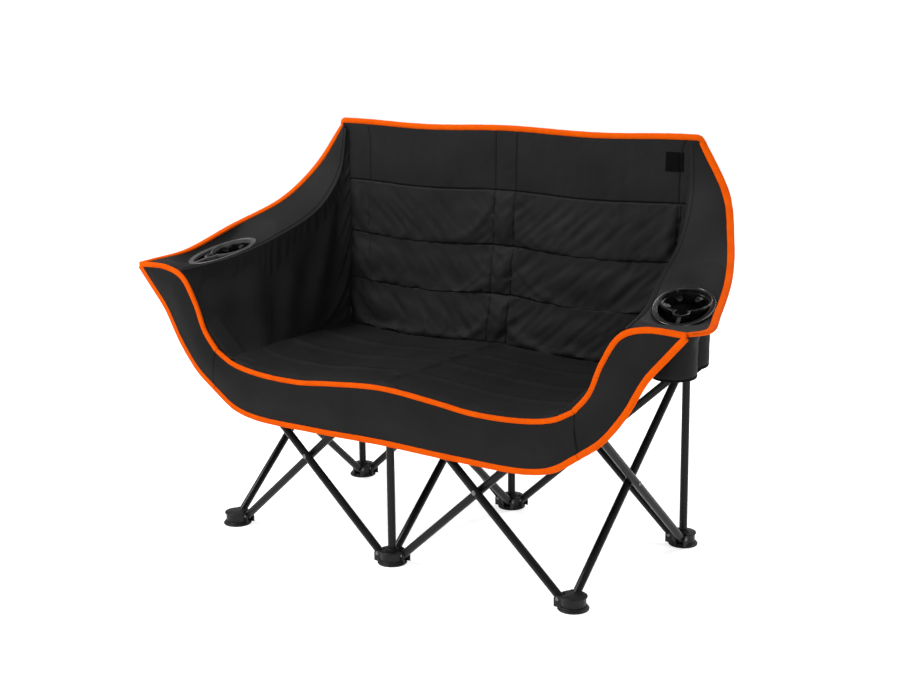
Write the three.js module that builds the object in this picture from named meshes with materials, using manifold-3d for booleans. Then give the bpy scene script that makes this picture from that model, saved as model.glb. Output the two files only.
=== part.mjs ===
// Folding camping loveseat: a black steel scissor frame that carries a padded fabric shell.
// Millimetres, +Z up. The sitters face -Y and the origin is on the floor, midway between the feet.
import * as THREE from "three";
import { mergeVertices } from "three/addons/utils/BufferGeometryUtils.js";
import Module from "manifold-3d";

const wasm = await Module();
wasm.setup();

// Driving dimensions of the frame
const bay = 470;
const jointHeight = 395;
const footPivotHeight = 22;
const pivotOffset = 26;
const tubeDiameter = 18;
const tubeWall = 1.2;
const tubeEnd = 9;
const armTubeLength = 286;
const uprightTop = 904;
const frontPostDrop = 19;
const innerPostDiameter = 14.4;
const innerPostBottom = 40;

// Moulded feet and hubs, their pins and the rivets of the crossings
const runningGap = 0.3;
const crossingGap = 0.5;
const pinDiameter = 6;
const headThickness = 1.5;
const pinHeadRadius = 6;
const rivetHeadRadius = 7;
const cheekThickness = 3;
const cheekReach = 8;
const cheekHalfHeight = 7;
const wallStart = 9.5;
const wallThickness = 3.2;
const socketWall = 3;
const collarTop = 46;
const footBaseRadius = 33;
const footBaseThickness = 5;
const footStepRadius = 30;
const footStepTop = 8.5;

// Cloth thicknesses, seam gap and the rolled edge binding
const clothThickness = 5;
const bandThickness = 4;
const seamGap = 0.4;
const bindingRadius = 5.5;

// Back panel: one flat row at the top and three padded rows under it
const backTopAbovePost = 18;
const backTopSag = 6;
const backRowHeights = [144, 128, 114];
const backPostGap = 2;
const backSeatGap = 0.7;
const backLean = 46;
const backTopOverhang = 12;
const topBindingOverhang = 21;
const backBottomInset = 18;
const backPuff = 13;
const backWrinkle = 3;
const backWrinkleCount = 7;
const backEdgeShare = 0.1;

// Seat: a padded sling that follows its front edge, with a dip in each bay and sewn cross channels
const seatFrontRise = 13.4;
const seatRearRise = 19;
const seatThickness = 9;
const seatDip = 8.5;
const seatFrontInset = 31;
const seatRearInset = 24;
const seatPuff = 4;
const seatFrontDrop = 7;
const seatFrontRound = 28;

// Front band: its lower edge and the seat's front edge, as shares of the bay and of the joint height
const bandLowerShares = [
  [0, 0.7165], [0.4255, 0.7089], [0.7979, 0.7165], [0.9319, 0.7544],
];
const bandUpperShares = [
  [0, 1.0203], [0.3191, 0.9924], [0.5106, 0.9696], [0.766, 0.9772], [0.9319, 1.0127],
];
const bandBulge = 6;
const bandFullWidth = 80;
const bandSeamGap = 0.4;

// Wings: places as shares of the way from the corner joint to the arm tube's end, in x and in z
const wingLowerShares = [
  [0.1387, -0.3203], [0.4162, -0.1208], [0.6937, 0.2048],
  [0.9392, 0.6039], [1.174, 0.8665], [1.3768, 1.0871],
];
const wingUpperShares = [
  [0.0854, 0.1523], [0.2775, 0.3729], [0.4269, 0.709], [0.6404, 1.0136], [0.9072, 1.1081], [1.3768, 1.1081],
];

// Arms: x as a share of that way, y from the front plane to the back, z from the tube's end to the top
const armInnerShares = [
  [0.6937, 0.0142, 0.0552], [0.523, 0.2979, 0.1027], [0.3202, 0.5651, 0.2216],
  [0.1974, 0.8157, 0.388], [0.1281, 0.9524, 0.6375], [0.0854, 0.9855, 0.9525],
];
const armOuterShares = [
  [1.3875, 0.0125, 0.0641], [1.4675, 0.1219, 0.0611], [1.3288, 0.2979, 0.0998],
  [1.1313, 0.5464, 0.2424], [0.8005, 0.8157, 0.4236], [0.5336, 0.971, 0.6613], [0.1601, 1.0166, 0.9703],
];
const armFrontShares = [
  [-0.1601, 0.0735], [0.0854, 0.1523], [0.2775, 0.3729],
  [0.4269, 0.709], [0.6297, 1.0136], [0.6617, 1.0923],
];
const armTopThickness = 6;
const armCrown = 5;
const pleatDepth = 4;
const rearSeamGap = 3.4;
const armSeamGap = 2.2;

// Cup holders: an oval plastic ring with a round bore and a crescent slot, over a cloth pouch
const cupCentreShares = [0.8485, 0.3683, 0.0998];
const cupTurn = THREE.MathUtils.degToRad(18.5);
const cupTilt = THREE.MathUtils.degToRad(14.5);
const cupHalfLength = 90;
const cupHalfWidth = 63;
const cupRingThickness = 9;
const cupBoreRadius = 49;
const cupEndWall = 15;
const cupSkirtDepth = 26;
const cupSkirtWall = 3;
const cupFingerLength = 9;
const cupFingerWidth = 12;
const cupFingerThickness = 2.4;
const cupSkirtStep = 2.2;
const cupFlatReachShare = 1.6;
const seamFadeShare = 0.13;
const slotInset = 9;
const slotWeb = 5;
const pouchEndInset = 3;
const pouchSideInset = 0.5;
const pouchDepth = 129;
const pouchWall = 3;
const pouchRound = 14;
const pouchTopDrop = 5.2;

// Bare label patch on the back
const labelSize = 42;
const labelThickness = 1.2;
const labelSideInset = 42;
const labelDrop = 54;

// Where the sewn pieces start and end along their edges, as shares of the edge
const bandSeamShare = 0.002;
const wingStartShare = 0.008;
const wingEndShare = 0.86;
const wingBindingStartShare = 0.015;

// Counts of facets and repeats
const tubeSides = 10;
const tubeBoreSides = 6;
const drumSides = 14;
const headSides = 6;
const pinSides = 6;
const pinHoleSides = 8;
const bindingSides = 6;
const pleatCount = 5;
const fingerCount = 6;
const seatChannelCount = 4;
const ovalSides = 20;
const stretchSteps = 30;
const edgeSearchSteps = 24;
const topBindingSpans = 8;
const backRows = 18;
const backColumns = 20;
const seatColumns = 14;
const seatRows = 8;
const bandColumns = 22;
const bandRows = 2;
const wingColumns = 10;
const lowerEdgeSteps = 30;
const seatEdgeSteps = 34;
const wingBindingSteps = 12;
const armBindingSteps = 30;
const topBindingSteps = 20;
const armTopColumns = 18;
const armTopRows = 6;
const pleatColumns = 20;
const pleatRows = 5;

// Surface finishes
const steel = { color: 0x1b1b1c, roughness: 0.4, metalness: 0.6 };
const moulding = { color: 0x141415, roughness: 0.5, metalness: 0 };
const rivetSteel = { color: 0x8a8a8c, roughness: 0.3, metalness: 0.9 };
const cloth = { color: 0x262627, roughness: 0.95, metalness: 0 };
const armCloth = { color: 0x2e2e2e, roughness: 0.9, metalness: 0 };
const orangeBinding = { color: 0xff6600, roughness: 0.8, metalness: 0 };
const cupPlastic = { color: 0x2b2b2d, roughness: 0.35, metalness: 0 };

// Sizes that follow from the driving dimensions
const tubeRadius = tubeDiameter / 2;
const tubeOffset = tubeRadius + crossingGap / 2;
const pinRadius = pinDiameter / 2;
const span = bay - 2 * pivotOffset;
const rise = jointHeight - footPivotHeight;
const pivotDistance = Math.hypot(span, rise);
const halfBay = bay / 2;
const outerCheek = tubeOffset + tubeRadius + runningGap;
const hubReach = outerCheek + cheekThickness + headThickness;
const frontPlane = -halfBay - hubReach - runningGap - bindingRadius;
const socketRadius = tubeRadius + runningGap;
const bindingFlat = bindingRadius * Math.cos(Math.PI / bindingSides);
const armTubeTipX = bay - pivotOffset + armTubeLength * span / pivotDistance;
const armTubeTipZ = jointHeight + armTubeLength * rise / pivotDistance;
const backTopHeight = uprightTop + backTopAbovePost;
const backFrontDepth = halfBay - tubeRadius - clothThickness - backPostGap;
const backLow = jointHeight + seatRearRise + seatThickness + backSeatGap;
const rowBottoms = backRowHeights.map((_, i) =>
  backRowHeights.slice(0, i + 1).reduce((height, row) => height - row, backTopHeight));
const backSeamHeights = [...rowBottoms, backLow];
const backHalfWidthTop = bay + backTopOverhang;
const backHalfWidthBottom = bay - backBottomInset;

const loveseat = new THREE.Group();

const vector = (x, y, z) => new THREE.Vector3(x, y, z);
const mix = THREE.MathUtils.lerp;

// Places that the share tables stand for: on the band, on a wing and on an arm
const bandPlace = ([x, z]) => vector(x * bay, frontPlane, z * jointHeight);
const wingPlace = ([x, z]) =>
  vector(mix(bay, armTubeTipX, x), frontPlane, mix(jointHeight, armTubeTipZ, z));
const armPlace = ([x, y, z]) => vector(
  mix(bay, armTubeTipX, x),
  mix(frontPlane, backFrontDepth, y),
  mix(armTubeTipZ, backTopHeight, z),
);
const cupCentre = armPlace(cupCentreShares);
const cupBoreShift = cupHalfLength - cupBoreRadius - cupEndWall;
const pouchBottom = cupCentre.z - pouchDepth;
const pouchHalfLength = cupHalfLength - pouchEndInset;
const pouchHalfWidth = cupHalfWidth - pouchSideInset;

// Turns a closed geometry into a solid for joins and cuts.
function toSolid(geometry) {
  const bare = geometry.clone();
  bare.deleteAttribute("normal");
  bare.deleteAttribute("uv");
  const merged = mergeVertices(bare);
  return new wasm.Manifold(new wasm.Mesh({
    numProp: 3,
    vertProperties: new Float32Array(merged.attributes.position.array),
    triVerts: new Uint32Array(merged.index.array),
  }));
}

// Turns a solid back into a geometry.
function toGeometry(solid) {
  const mesh = solid.getMesh();
  const geometry = new THREE.BufferGeometry();
  geometry.setAttribute("position", new THREE.BufferAttribute(mesh.vertProperties, mesh.numProp));
  geometry.setIndex(new THREE.BufferAttribute(mesh.triVerts, 1));
  return geometry;
}

// Joins closed geometries and cuts others out of them.
function carve(joined, cut = []) {
  let solid = toSolid(joined[0]);
  for (const geometry of joined.slice(1)) {
    solid = solid.add(toSolid(geometry));
  }
  for (const geometry of cut) {
    solid = solid.subtract(toSolid(geometry));
  }
  return toGeometry(solid);
}

// Adds one named piece to the loveseat, with a material of its own.
function addPiece(name, geometry, finish, placement = new THREE.Matrix4()) {
  const mesh = new THREE.Mesh(geometry, new THREE.MeshStandardMaterial(finish));
  mesh.name = name;
  mesh.applyMatrix4(placement);
  loveseat.add(mesh);
}

// Six times the volume inside an indexed geometry, negative where its faces point in.
function signedVolume(geometry) {
  const position = geometry.attributes.position;
  const corners = [vector(0, 0, 0), vector(0, 0, 0), vector(0, 0, 0)];
  let total = 0;
  for (let i = 0; i < geometry.index.count; i += 3) {
    corners.forEach((corner, k) => corner.fromBufferAttribute(position, geometry.index.getX(i + k)));
    total += corners[0].dot(corners[1].clone().cross(corners[2]));
  }
  return total;
}

// An indexed geometry from points and triangles, with its faces turned outwards.
function closedGeometry(points, triangles) {
  const geometry = new THREE.BufferGeometry().setFromPoints(points);
  geometry.setIndex(triangles.flat());
  if (signedVolume(geometry) < 0) {
    geometry.setIndex(triangles.map(([a, b, c]) => [a, c, b]).flat());
  }
  return geometry;
}

// A closed sheet between two surfaces of u and v, both running from 0 to 1.
function sheet(front, rear, columns, rows) {
  const points = [];
  const triangles = [];
  const row = columns + 1;
  const layer = row * (rows + 1);
  for (const surface of [front, rear]) {
    for (let j = 0; j <= rows; j += 1) {
      for (let i = 0; i <= columns; i += 1) {
        points.push(surface(i / columns, j / rows));
      }
    }
  }
  const quad = (a, b, c, d) => triangles.push([a, b, c], [a, c, d]);
  for (let j = 0; j < rows; j += 1) {
    for (let i = 0; i < columns; i += 1) {
      const a = j * row + i;
      quad(a, a + 1, a + 1 + row, a + row);
      quad(layer + a, layer + a + row, layer + a + 1 + row, layer + a + 1);
    }
  }
  for (let i = 0; i < columns; i += 1) {
    const top = rows * row + i;
    quad(i + 1, i, layer + i, layer + i + 1);
    quad(top, top + 1, layer + top + 1, layer + top);
  }
  for (let j = 0; j < rows; j += 1) {
    const left = j * row;
    const right = left + columns;
    quad(left, left + row, layer + left + row, layer + left);
    quad(right + row, right, layer + right, layer + right + row);
  }
  return closedGeometry(points, triangles);
}

// The second side of a sheet: the surface moved along its own normal.
function offsetSurface(surface, distance) {
  const stepShare = 0.001;
  return (u, v) => {
    const uLow = Math.max(u - stepShare, 0);
    const uHigh = Math.min(u + stepShare, 1);
    const vLow = Math.max(v - stepShare, 0);
    const vHigh = Math.min(v + stepShare, 1);
    const alongU = surface(uHigh, v).sub(surface(uLow, v));
    const alongV = surface(u, vHigh).sub(surface(u, vLow));
    return surface(u, v).addScaledVector(alongU.cross(alongV).normalize(), distance);
  };
}

// A closed solid through rings of points, with a flat cap on the first and the last ring.
function loft(rings) {
  const count = rings[0].length;
  const points = rings.flat();
  const triangles = [];
  for (let r = 0; r < rings.length - 1; r += 1) {
    for (let i = 0; i < count; i += 1) {
      const next = (i + 1) % count;
      const a = r * count;
      triangles.push([a + i, a + next, a + count + next], [a + i, a + count + next, a + count + i]);
    }
  }
  for (const [base, flip] of [[0, true], [(rings.length - 1) * count, false]]) {
    const ring = points.slice(base, base + count);
    const centre = ring.reduce((sum, p) => sum.add(p), vector(0, 0, 0)).divideScalar(count);
    points.push(centre);
    for (let i = 0; i < count; i += 1) {
      const pair = [base + i, base + ((i + 1) % count)];
      triangles.push(flip ? [points.length - 1, pair[1], pair[0]] : [points.length - 1, ...pair]);
    }
  }
  return closedGeometry(points, triangles);
}

// A round rolled binding along a curve.
function binding(curve, steps) {
  const section = new THREE.Shape();
  section.absarc(0, 0, bindingRadius, 0, 2 * Math.PI);
  return new THREE.ExtrudeGeometry(section, { steps, curveSegments: bindingSides / 2, extrudePath: curve });
}

// A solid cylinder whose axis starts at a point and runs along a direction.
function rod(start, direction, length, radius, sides = pinSides) {
  const geometry = new THREE.CylinderGeometry(radius, radius, length, sides);
  geometry.applyQuaternion(new THREE.Quaternion().setFromUnitVectors(vector(0, 1, 0), direction));
  const middle = start.clone().addScaledVector(direction, length / 2);
  return geometry.translate(middle.x, middle.y, middle.z);
}

// A disc or upright cylinder between two heights, about the origin.
function drum(radius, low, high, sides = drumSides) {
  return rod(vector(0, 0, low), vector(0, 0, 1), high - low, radius, sides);
}

// A box between two opposite corners.
function block(low, high) {
  const size = high.clone().sub(low);
  const middle = low.clone().add(high).divideScalar(2);
  return new THREE.BoxGeometry(size.x, size.y, size.z).translate(middle.x, middle.y, middle.z);
}

// Plan positions of the six feet, in a grid of three by two
const columns = { left: -bay, centre: 0, right: bay };
const lines = { front: -halfBay, back: halfBay };
const footPlace = (line, column) => vector(columns[column], lines[line], 0);

// The seven scissor faces. Tube one rises from foot `from` to the hub over `to`, on the side that
// `side` points to. Tube two rises the other way, on the opposite side.
const xAxis = vector(1, 0, 0);
const yAxis = vector(0, 1, 0);
const toFront = vector(0, -1, 0);
const faces = [
  { name: "front_left", from: ["front", "centre"], to: ["front", "left"], side: toFront, arm: true },
  { name: "front_right", from: ["front", "centre"], to: ["front", "right"], side: yAxis, arm: true },
  { name: "back_left", from: ["back", "centre"], to: ["back", "left"], side: toFront },
  { name: "back_right", from: ["back", "centre"], to: ["back", "right"], side: yAxis },
  { name: "side_left", from: ["back", "left"], to: ["front", "left"], side: xAxis },
  { name: "side_centre", from: ["back", "centre"], to: ["front", "centre"], side: xAxis },
  { name: "side_right", from: ["back", "right"], to: ["front", "right"], side: xAxis },
];

// A hollow tube along +Z, with cross holes along X at the given stations.
function makeTube(length, stations, diameter = tubeDiameter, boreSides = tubeBoreSides) {
  const ring = new THREE.Shape();
  ring.absarc(0, 0, diameter / 2, 0, 2 * Math.PI);
  const boreRadius = diameter / 2 - tubeWall;
  const boreCurve = new THREE.EllipseCurve(0, 0, boreRadius, boreRadius, 0, 2 * Math.PI);
  ring.holes.push(new THREE.Path(boreCurve.getPoints(boreSides)));
  const options = { depth: length, bevelEnabled: false, curveSegments: tubeSides / 2 };
  const wall = new THREE.ExtrudeGeometry(ring, options);
  const drills = stations.map((z) =>
    rod(vector(-diameter, 0, z), xAxis, 2 * diameter, pinRadius + runningGap, pinHoleSides));
  return drills.length ? carve([wall], drills) : wall;
}

// A pin with a flat head, along a direction from its plain end.
function makePin(start, direction, length, headRadius) {
  return [
    rod(start, direction, length, pinRadius),
    rod(start.clone().addScaledVector(direction, length), direction, headThickness, headRadius, headSides),
  ];
}

// Each face: two crossed tubes and the rivet through their crossing
for (const face of faces) {
  const lowEnd = footPlace(...face.from);
  const farEnd = footPlace(...face.to);
  const across = farEnd.clone().sub(lowEnd).normalize();
  const tubes = [
    { start: lowEnd, along: across, side: face.side, extra: face.arm ? armTubeLength : tubeEnd },
    { start: farEnd, along: across.clone().negate(), side: face.side.clone().negate(), extra: tubeEnd },
  ];
  tubes.forEach(({ start, along, side, extra }, i) => {
    const up = along.clone().multiplyScalar(span).add(vector(0, 0, rise)).normalize();
    const pivot = start.clone().addScaledVector(along, pivotOffset).addScaledVector(side, tubeOffset);
    pivot.z = footPivotHeight;
    const stations = [tubeEnd, tubeEnd + pivotDistance / 2, tubeEnd + pivotDistance];
    const placement = new THREE.Matrix4().makeBasis(side, up.clone().cross(side), up);
    placement.setPosition(pivot.addScaledVector(up, -tubeEnd));
    const kind = face.arm ? ["arm_tube", "cross_tube"][i] : `cross_tube_${i + 1}`;
    addPiece(`${face.name}_${kind}`, makeTube(tubeEnd + pivotDistance + extra, stations), steel, placement);
  });
  const crossing = lowEnd.clone().add(farEnd).divideScalar(2);
  crossing.z = footPivotHeight + rise / 2;
  const reach = tubeOffset + tubeRadius + runningGap;
  const tail = crossing.clone().addScaledVector(face.side, -reach);
  const rivet = [
    ...makePin(tail, face.side, 2 * reach, rivetHeadRadius),
    rod(tail.clone().addScaledVector(face.side, -headThickness), face.side, headThickness, rivetHeadRadius,
      headSides),
  ];
  addPiece(`${face.name}_cross_rivet`, carve(rivet), rivetSteel);
}

// The tube ends that meet at one foot or hub: where each lies, seen from the post's axis
function tubesAt(line, column, upper) {
  const isHere = (place) => place[0] === line && place[1] === column;
  const ends = [];
  for (const face of faces) {
    const across = footPlace(...face.to).sub(footPlace(...face.from)).normalize();
    const back = across.clone().negate();
    const other = face.side.clone().negate();
    if (isHere(face.from)) {
      ends.push({ toward: across, side: upper ? other : face.side, passes: false });
    }
    if (isHere(face.to)) {
      ends.push({ toward: back, side: upper ? face.side : other, passes: upper && Boolean(face.arm) });
    }
  }
  return ends;
}

// A box set out along one tube's direction and side, between two heights.
function plate({ toward, side }, along, beside, heights) {
  const corners = [0, 1].map((k) =>
    toward.clone().multiplyScalar(along[k]).addScaledVector(side, beside[k]).setZ(heights[k]));
  return block(corners[0].clone().min(corners[1]), corners[0].clone().max(corners[1]));
}

// The cheeks, end wall and pin that hold one tube end. A tube that passes on has a single cheek.
function tubeHolder(end, pivotHeight, lowest, hasWall) {
  const reach = pivotOffset + cheekReach;
  const inner = [-runningGap - cheekThickness, -runningGap];
  const outer = [outerCheek, outerCheek + cheekThickness];
  const heights = [lowest, pivotHeight + cheekHalfHeight];
  const pivot = end.toward.clone().multiplyScalar(pivotOffset).addScaledVector(end.side, inner[0]);
  pivot.setZ(pivotHeight);
  if (end.passes) {
    return [
      plate(end, [0, reach], inner, heights),
      ...makePin(pivot, end.side, outer[0] - inner[0], pinHeadRadius),
    ];
  }
  const wall = plate(end, [wallStart, wallStart + wallThickness], [inner[0], outer[1]], heights);
  return [
    plate(end, [wallStart, reach], inner, heights),
    plate(end, [wallStart, reach], outer, heights),
    ...(hasWall ? [wall] : []),
    ...makePin(pivot, end.side, outer[1] - inner[0], pinHeadRadius),
  ];
}

// Feet: a stepped base disc, a socket for the post and a holder for each tube
function makeFoot(ends, hasPost) {
  const socketOuter = socketRadius + socketWall;
  const pieces = [
    drum(footBaseRadius, 0, footBaseThickness),
    drum(footStepRadius, footBaseThickness / 2, footStepTop),
    drum(socketOuter, footBaseThickness, hasPost ? collarTop : footPivotHeight + cheekHalfHeight),
    ...ends.flatMap((end) => tubeHolder(end, footPivotHeight, footBaseThickness, false)),
  ];
  return carve(pieces, hasPost ? [drum(socketRadius, footBaseThickness, 2 * collarTop)] : []);
}

// Hubs: a sleeve that slides on a back upright, the cap of the telescoping front post, or a corner
function makeHub(ends, kind) {
  const low = jointHeight - cheekHalfHeight;
  const high = jointHeight + cheekHalfHeight;
  const sleeveOuter = socketRadius + socketWall;
  const innerPostHole = innerPostDiameter / 2 + runningGap;
  const holders = ends.flatMap((end) => tubeHolder(end, jointHeight, low, true));
  if (kind === "slider") {
    const sleeve = drum(sleeveOuter, low - socketWall, high + socketWall);
    return carve([sleeve, ...holders], [drum(socketRadius, 0, 2 * jointHeight)]);
  }
  if (kind === "cap") {
    const cap = drum(sleeveOuter, low - socketWall, high);
    return carve([cap, ...holders], [drum(innerPostHole, 0, jointHeight)]);
  }
  const passing = ends.find((end) => end.passes);
  const held = ends.find((end) => !end.passes);
  const front = passing.side.dot(held.toward) > 0 ? -runningGap - cheekThickness : runningGap;
  const width = [-runningGap - cheekThickness, outerCheek + cheekThickness];
  const coreTop = high - cheekThickness / 2;
  const core = plate(held, [front, wallStart + wallThickness], width, [low, coreTop]);
  return carve([core, ...holders]);
}

// Feet, hubs and sliders at the six places of the grid
for (const line of Object.keys(lines)) {
  for (const column of Object.keys(columns)) {
    const hasPost = line === "back" || column === "centre";
    const place = footPlace(line, column);
    const placement = new THREE.Matrix4().setPosition(place);
    const foot = makeFoot(tubesAt(line, column, false), hasPost);
    addPiece(`${line}_${column}_foot`, foot, moulding, placement);
    const kind = line === "back" ? "slider" : { centre: "cap" }[column] ?? "corner";
    const hub = makeHub(tubesAt(line, column, true), kind);
    addPiece(`${line}_${column}_${kind === "slider" ? kind : "hub"}`, hub, moulding, placement);
  }
}

// Posts: three back uprights, and the front post with a thinner one inside it
function addPost(name, line, column, high, diameter = tubeDiameter, low = footBaseThickness + runningGap) {
  const placement = new THREE.Matrix4().setPosition(footPlace(line, column).setZ(low));
  addPiece(name, makeTube(high - low, [], diameter, tubeSides), steel, placement);
}
for (const column of Object.keys(columns)) {
  addPost(`back_${column}_upright`, "back", column, uprightTop);
}
addPost("front_centre_post", "front", "centre", jointHeight - frontPostDrop);
const innerPostTop = jointHeight - runningGap;
addPost("front_centre_inner_post", "front", "centre", innerPostTop, innerPostDiameter, innerPostBottom);

// A smooth curve through places, mirrored by its sign
function smooth(places, sign = 1) {
  const mirrored = places.map(({ x, y, z }) => vector(sign * x, y, z));
  return new THREE.CatmullRomCurve3(mirrored, false, "centripetal");
}

// The stretch of a curve between two shares of it
function stretch(curve, from, to) {
  const shares = Array.from({ length: stretchSteps + 1 }, (_, i) => mix(from, to, i / stretchSteps));
  return smooth(shares.map((share) => curve.getPoint(share)));
}

// Both halves of an edge that crosses the middle, ending where the wing's edge starts
function wholeEdge(bandShares, wingShares) {
  const half = [...bandShares.map(bandPlace), wingPlace(wingShares[0])];
  const mirrored = half.slice(1).reverse().map(({ x, y, z }) => vector(-x, y, z));
  return smooth([...mirrored, ...half]);
}

// Lower edge of the front band and front edge of the seat, from wing to wing
const lowerWhole = wholeEdge(bandLowerShares, wingLowerShares);
const upperWhole = wholeEdge(bandUpperShares, wingUpperShares);

// Underside of the seat: it rests on the front edge's binding and clears the hubs
function edgeHeight(edge, x) {
  let [low, high] = [0, 1];
  for (let i = 0; i < edgeSearchSteps; i += 1) {
    const middle = (low + high) / 2;
    [low, high] = edge.getPoint(middle).x < x ? [middle, high] : [low, middle];
  }
  return edge.getPoint(low).z;
}
const seatFrontAt = (x) =>
  Math.min(jointHeight + seatFrontRise, edgeHeight(upperWhole, x) + bindingRadius + seamGap);
const seatRearAt = (x) => jointHeight + seatRearRise - seatDip * Math.sin(Math.PI * x / bay) ** 2;

// Back panel: its front face leans and swells between the sewn seams
const backTop = (x) => backTopHeight - backTopSag * Math.sin(Math.PI * x / bay) ** 2;
const backDropShare = (z) => (backTopHeight - z) / (backTopHeight - backLow);
const backLeanAt = (z) => backFrontDepth - backLean * backDropShare(z) ** 2;
function backSwell(x, z) {
  const above = backSeamHeights.findIndex((height) => z >= height);
  if (above <= 0) {
    return 0;
  }
  const high = backSeamHeights[above - 1];
  const low = backSeamHeights[above];
  const share = (z - low) / (high - low);
  const wave = backWrinkle * Math.sin(backWrinkleCount * Math.PI * x / bay + above);
  const edge = (1 - Math.abs(x) / backHalfWidthBottom) / backEdgeShare + backEdgeShare;
  return Math.sin(Math.PI * share) * (backPuff + wave) * THREE.MathUtils.clamp(edge, 0, 1);
}
function backPoint(u, v, isFront) {
  const halfWidth = mix(backHalfWidthBottom, backHalfWidthTop, Math.min(1, 2 * v));
  const x = mix(-halfWidth, halfWidth, u);
  const z = mix(seatRearAt(x) + seatThickness + backSeatGap, backTop(x) - bindingFlat - seamGap, v);
  const y = backLeanAt(z);
  return isFront ? vector(x, y - backSwell(x, z), z) : vector(x, y + clothThickness, z);
}
addPiece("back_panel", sheet(
  (u, v) => backPoint(u, v, true),
  (u, v) => backPoint(u, v, false),
  backColumns, backRows,
), cloth);

// Seat: two panels sewn together across the middle
const seatFrontDepth = frontPlane + bindingRadius + seamGap;
const seatRearDepth = backFrontDepth - backLean - seamGap;
const seatHalfWidthRear = bay - seatRearInset;
function seatPoint(x0, y, isTop) {
  const share = (y - seatFrontDepth) / (seatRearDepth - seatFrontDepth);
  const halfWidth = mix(bay - seatFrontInset, seatHalfWidthRear, share);
  const x = x0 * halfWidth;
  const drop = seatFrontDrop * Math.max(0, 1 - (y - seatFrontDepth) / seatFrontRound) ** 2;
  const bottom = mix(seatFrontAt(x), seatRearAt(x), share);
  const swell = seatPuff * Math.abs(Math.sin(Math.PI * seatChannelCount * share));
  return vector(x, y, isTop ? bottom + seatThickness + swell - drop : bottom);
}
const seatMiddle = (seatFrontDepth + seatRearDepth) / 2;
const seatPanels = [
  ["seat_front_panel", seatFrontDepth, seatMiddle - seamGap / 2],
  ["seat_rear_panel", seatMiddle + seamGap / 2, seatRearDepth],
];
for (const [name, near, far] of seatPanels) {
  const face = (isTop) => (u, v) => seatPoint(2 * u - 1, mix(near, far, v), isTop);
  addPiece(name, sheet(face(true), face(false), seatColumns, seatRows), cloth);
}

// A flat cloth band between a lower and an upper edge, inside their bindings.
function bandSheet(lower, upper, from, to, columnCount, rowCount) {
  const face = (depth) => (u, v) => {
    const t = mix(from, to, u);
    const low = lower.getPoint(t);
    const high = upper.getPoint(t);
    const width = low.distanceTo(high);
    const rib = high.clone().sub(low).divideScalar(width);
    const [lowInset, highInset] = [lower, upper].map((edge) =>
      (bindingRadius + bandSeamGap) / edge.getTangent(t).cross(rib).length() / width);
    const place = low.lerp(high, mix(lowInset, 1 - highInset, v));
    place.y += depth - bandBulge * Math.sin(Math.PI * v) * Math.min(1, width / bandFullWidth);
    return place;
  };
  return sheet(face(-bandThickness / 2), face(bandThickness / 2), columnCount, rowCount);
}

// Front band: cloth between the seat's front edge and the lower binding
const bandEnds = [bandSeamShare, 1 - bandSeamShare];
addPiece("front_band", bandSheet(lowerWhole, upperWhole, ...bandEnds, bandColumns, bandRows), cloth);
addPiece("band_lower_binding", binding(lowerWhole, lowerEdgeSteps), orangeBinding);
addPiece("seat_edge_binding", binding(upperWhole, seatEdgeSteps), orangeBinding);

// Wings: the band's ends, which run up the arm tubes to a point, with one binding round each
for (const [side, sign] of [["left", -1], ["right", 1]]) {
  const lower = smooth(wingLowerShares.map(wingPlace), sign);
  const upper = smooth(wingUpperShares.map(wingPlace), sign);
  const wingCloth = bandSheet(lower, upper, wingStartShare, wingEndShare, wingColumns, bandRows);
  addPiece(`${side}_front_wing`, wingCloth, cloth);
  const edges = [lower, upper].map((edge) => stretch(edge, wingBindingStartShare, 1));
  const rolls = edges.map((edge) => binding(edge, wingBindingSteps));
  addPiece(`${side}_wing_binding`, carve(rolls), orangeBinding);
}

// Arms, each mirrored to the left by its sign
const cupPlaneRise = Math.tan(cupTilt);

// An oval in plan, turned like the cup holder, at a share of its half sizes
function cupOval(sign, halfWidth, halfLength, heightAt) {
  return Array.from({ length: ovalSides }, (_, i) => {
    const angle = 2 * Math.PI * i / ovalSides;
    const along = halfLength * Math.sin(angle);
    const beside = halfWidth * Math.cos(angle);
    const plan = vector(beside, along, 0).applyAxisAngle(vector(0, 0, 1), sign * cupTurn);
    return vector(sign * cupCentre.x + plan.x, cupCentre.y + plan.y, heightAt(along));
  });
}

// How far a plan point lies from the middle of the cup holder, where the oval's rim counts as 1
function cupDistance(place, sign) {
  const plan = vector(place.x - sign * cupCentre.x, place.y - cupCentre.y, 0);
  plan.applyAxisAngle(vector(0, 0, 1), -sign * cupTurn);
  return { share: Math.hypot(plan.x / cupHalfWidth, plan.y / cupHalfLength), along: plan.y };
}

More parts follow.
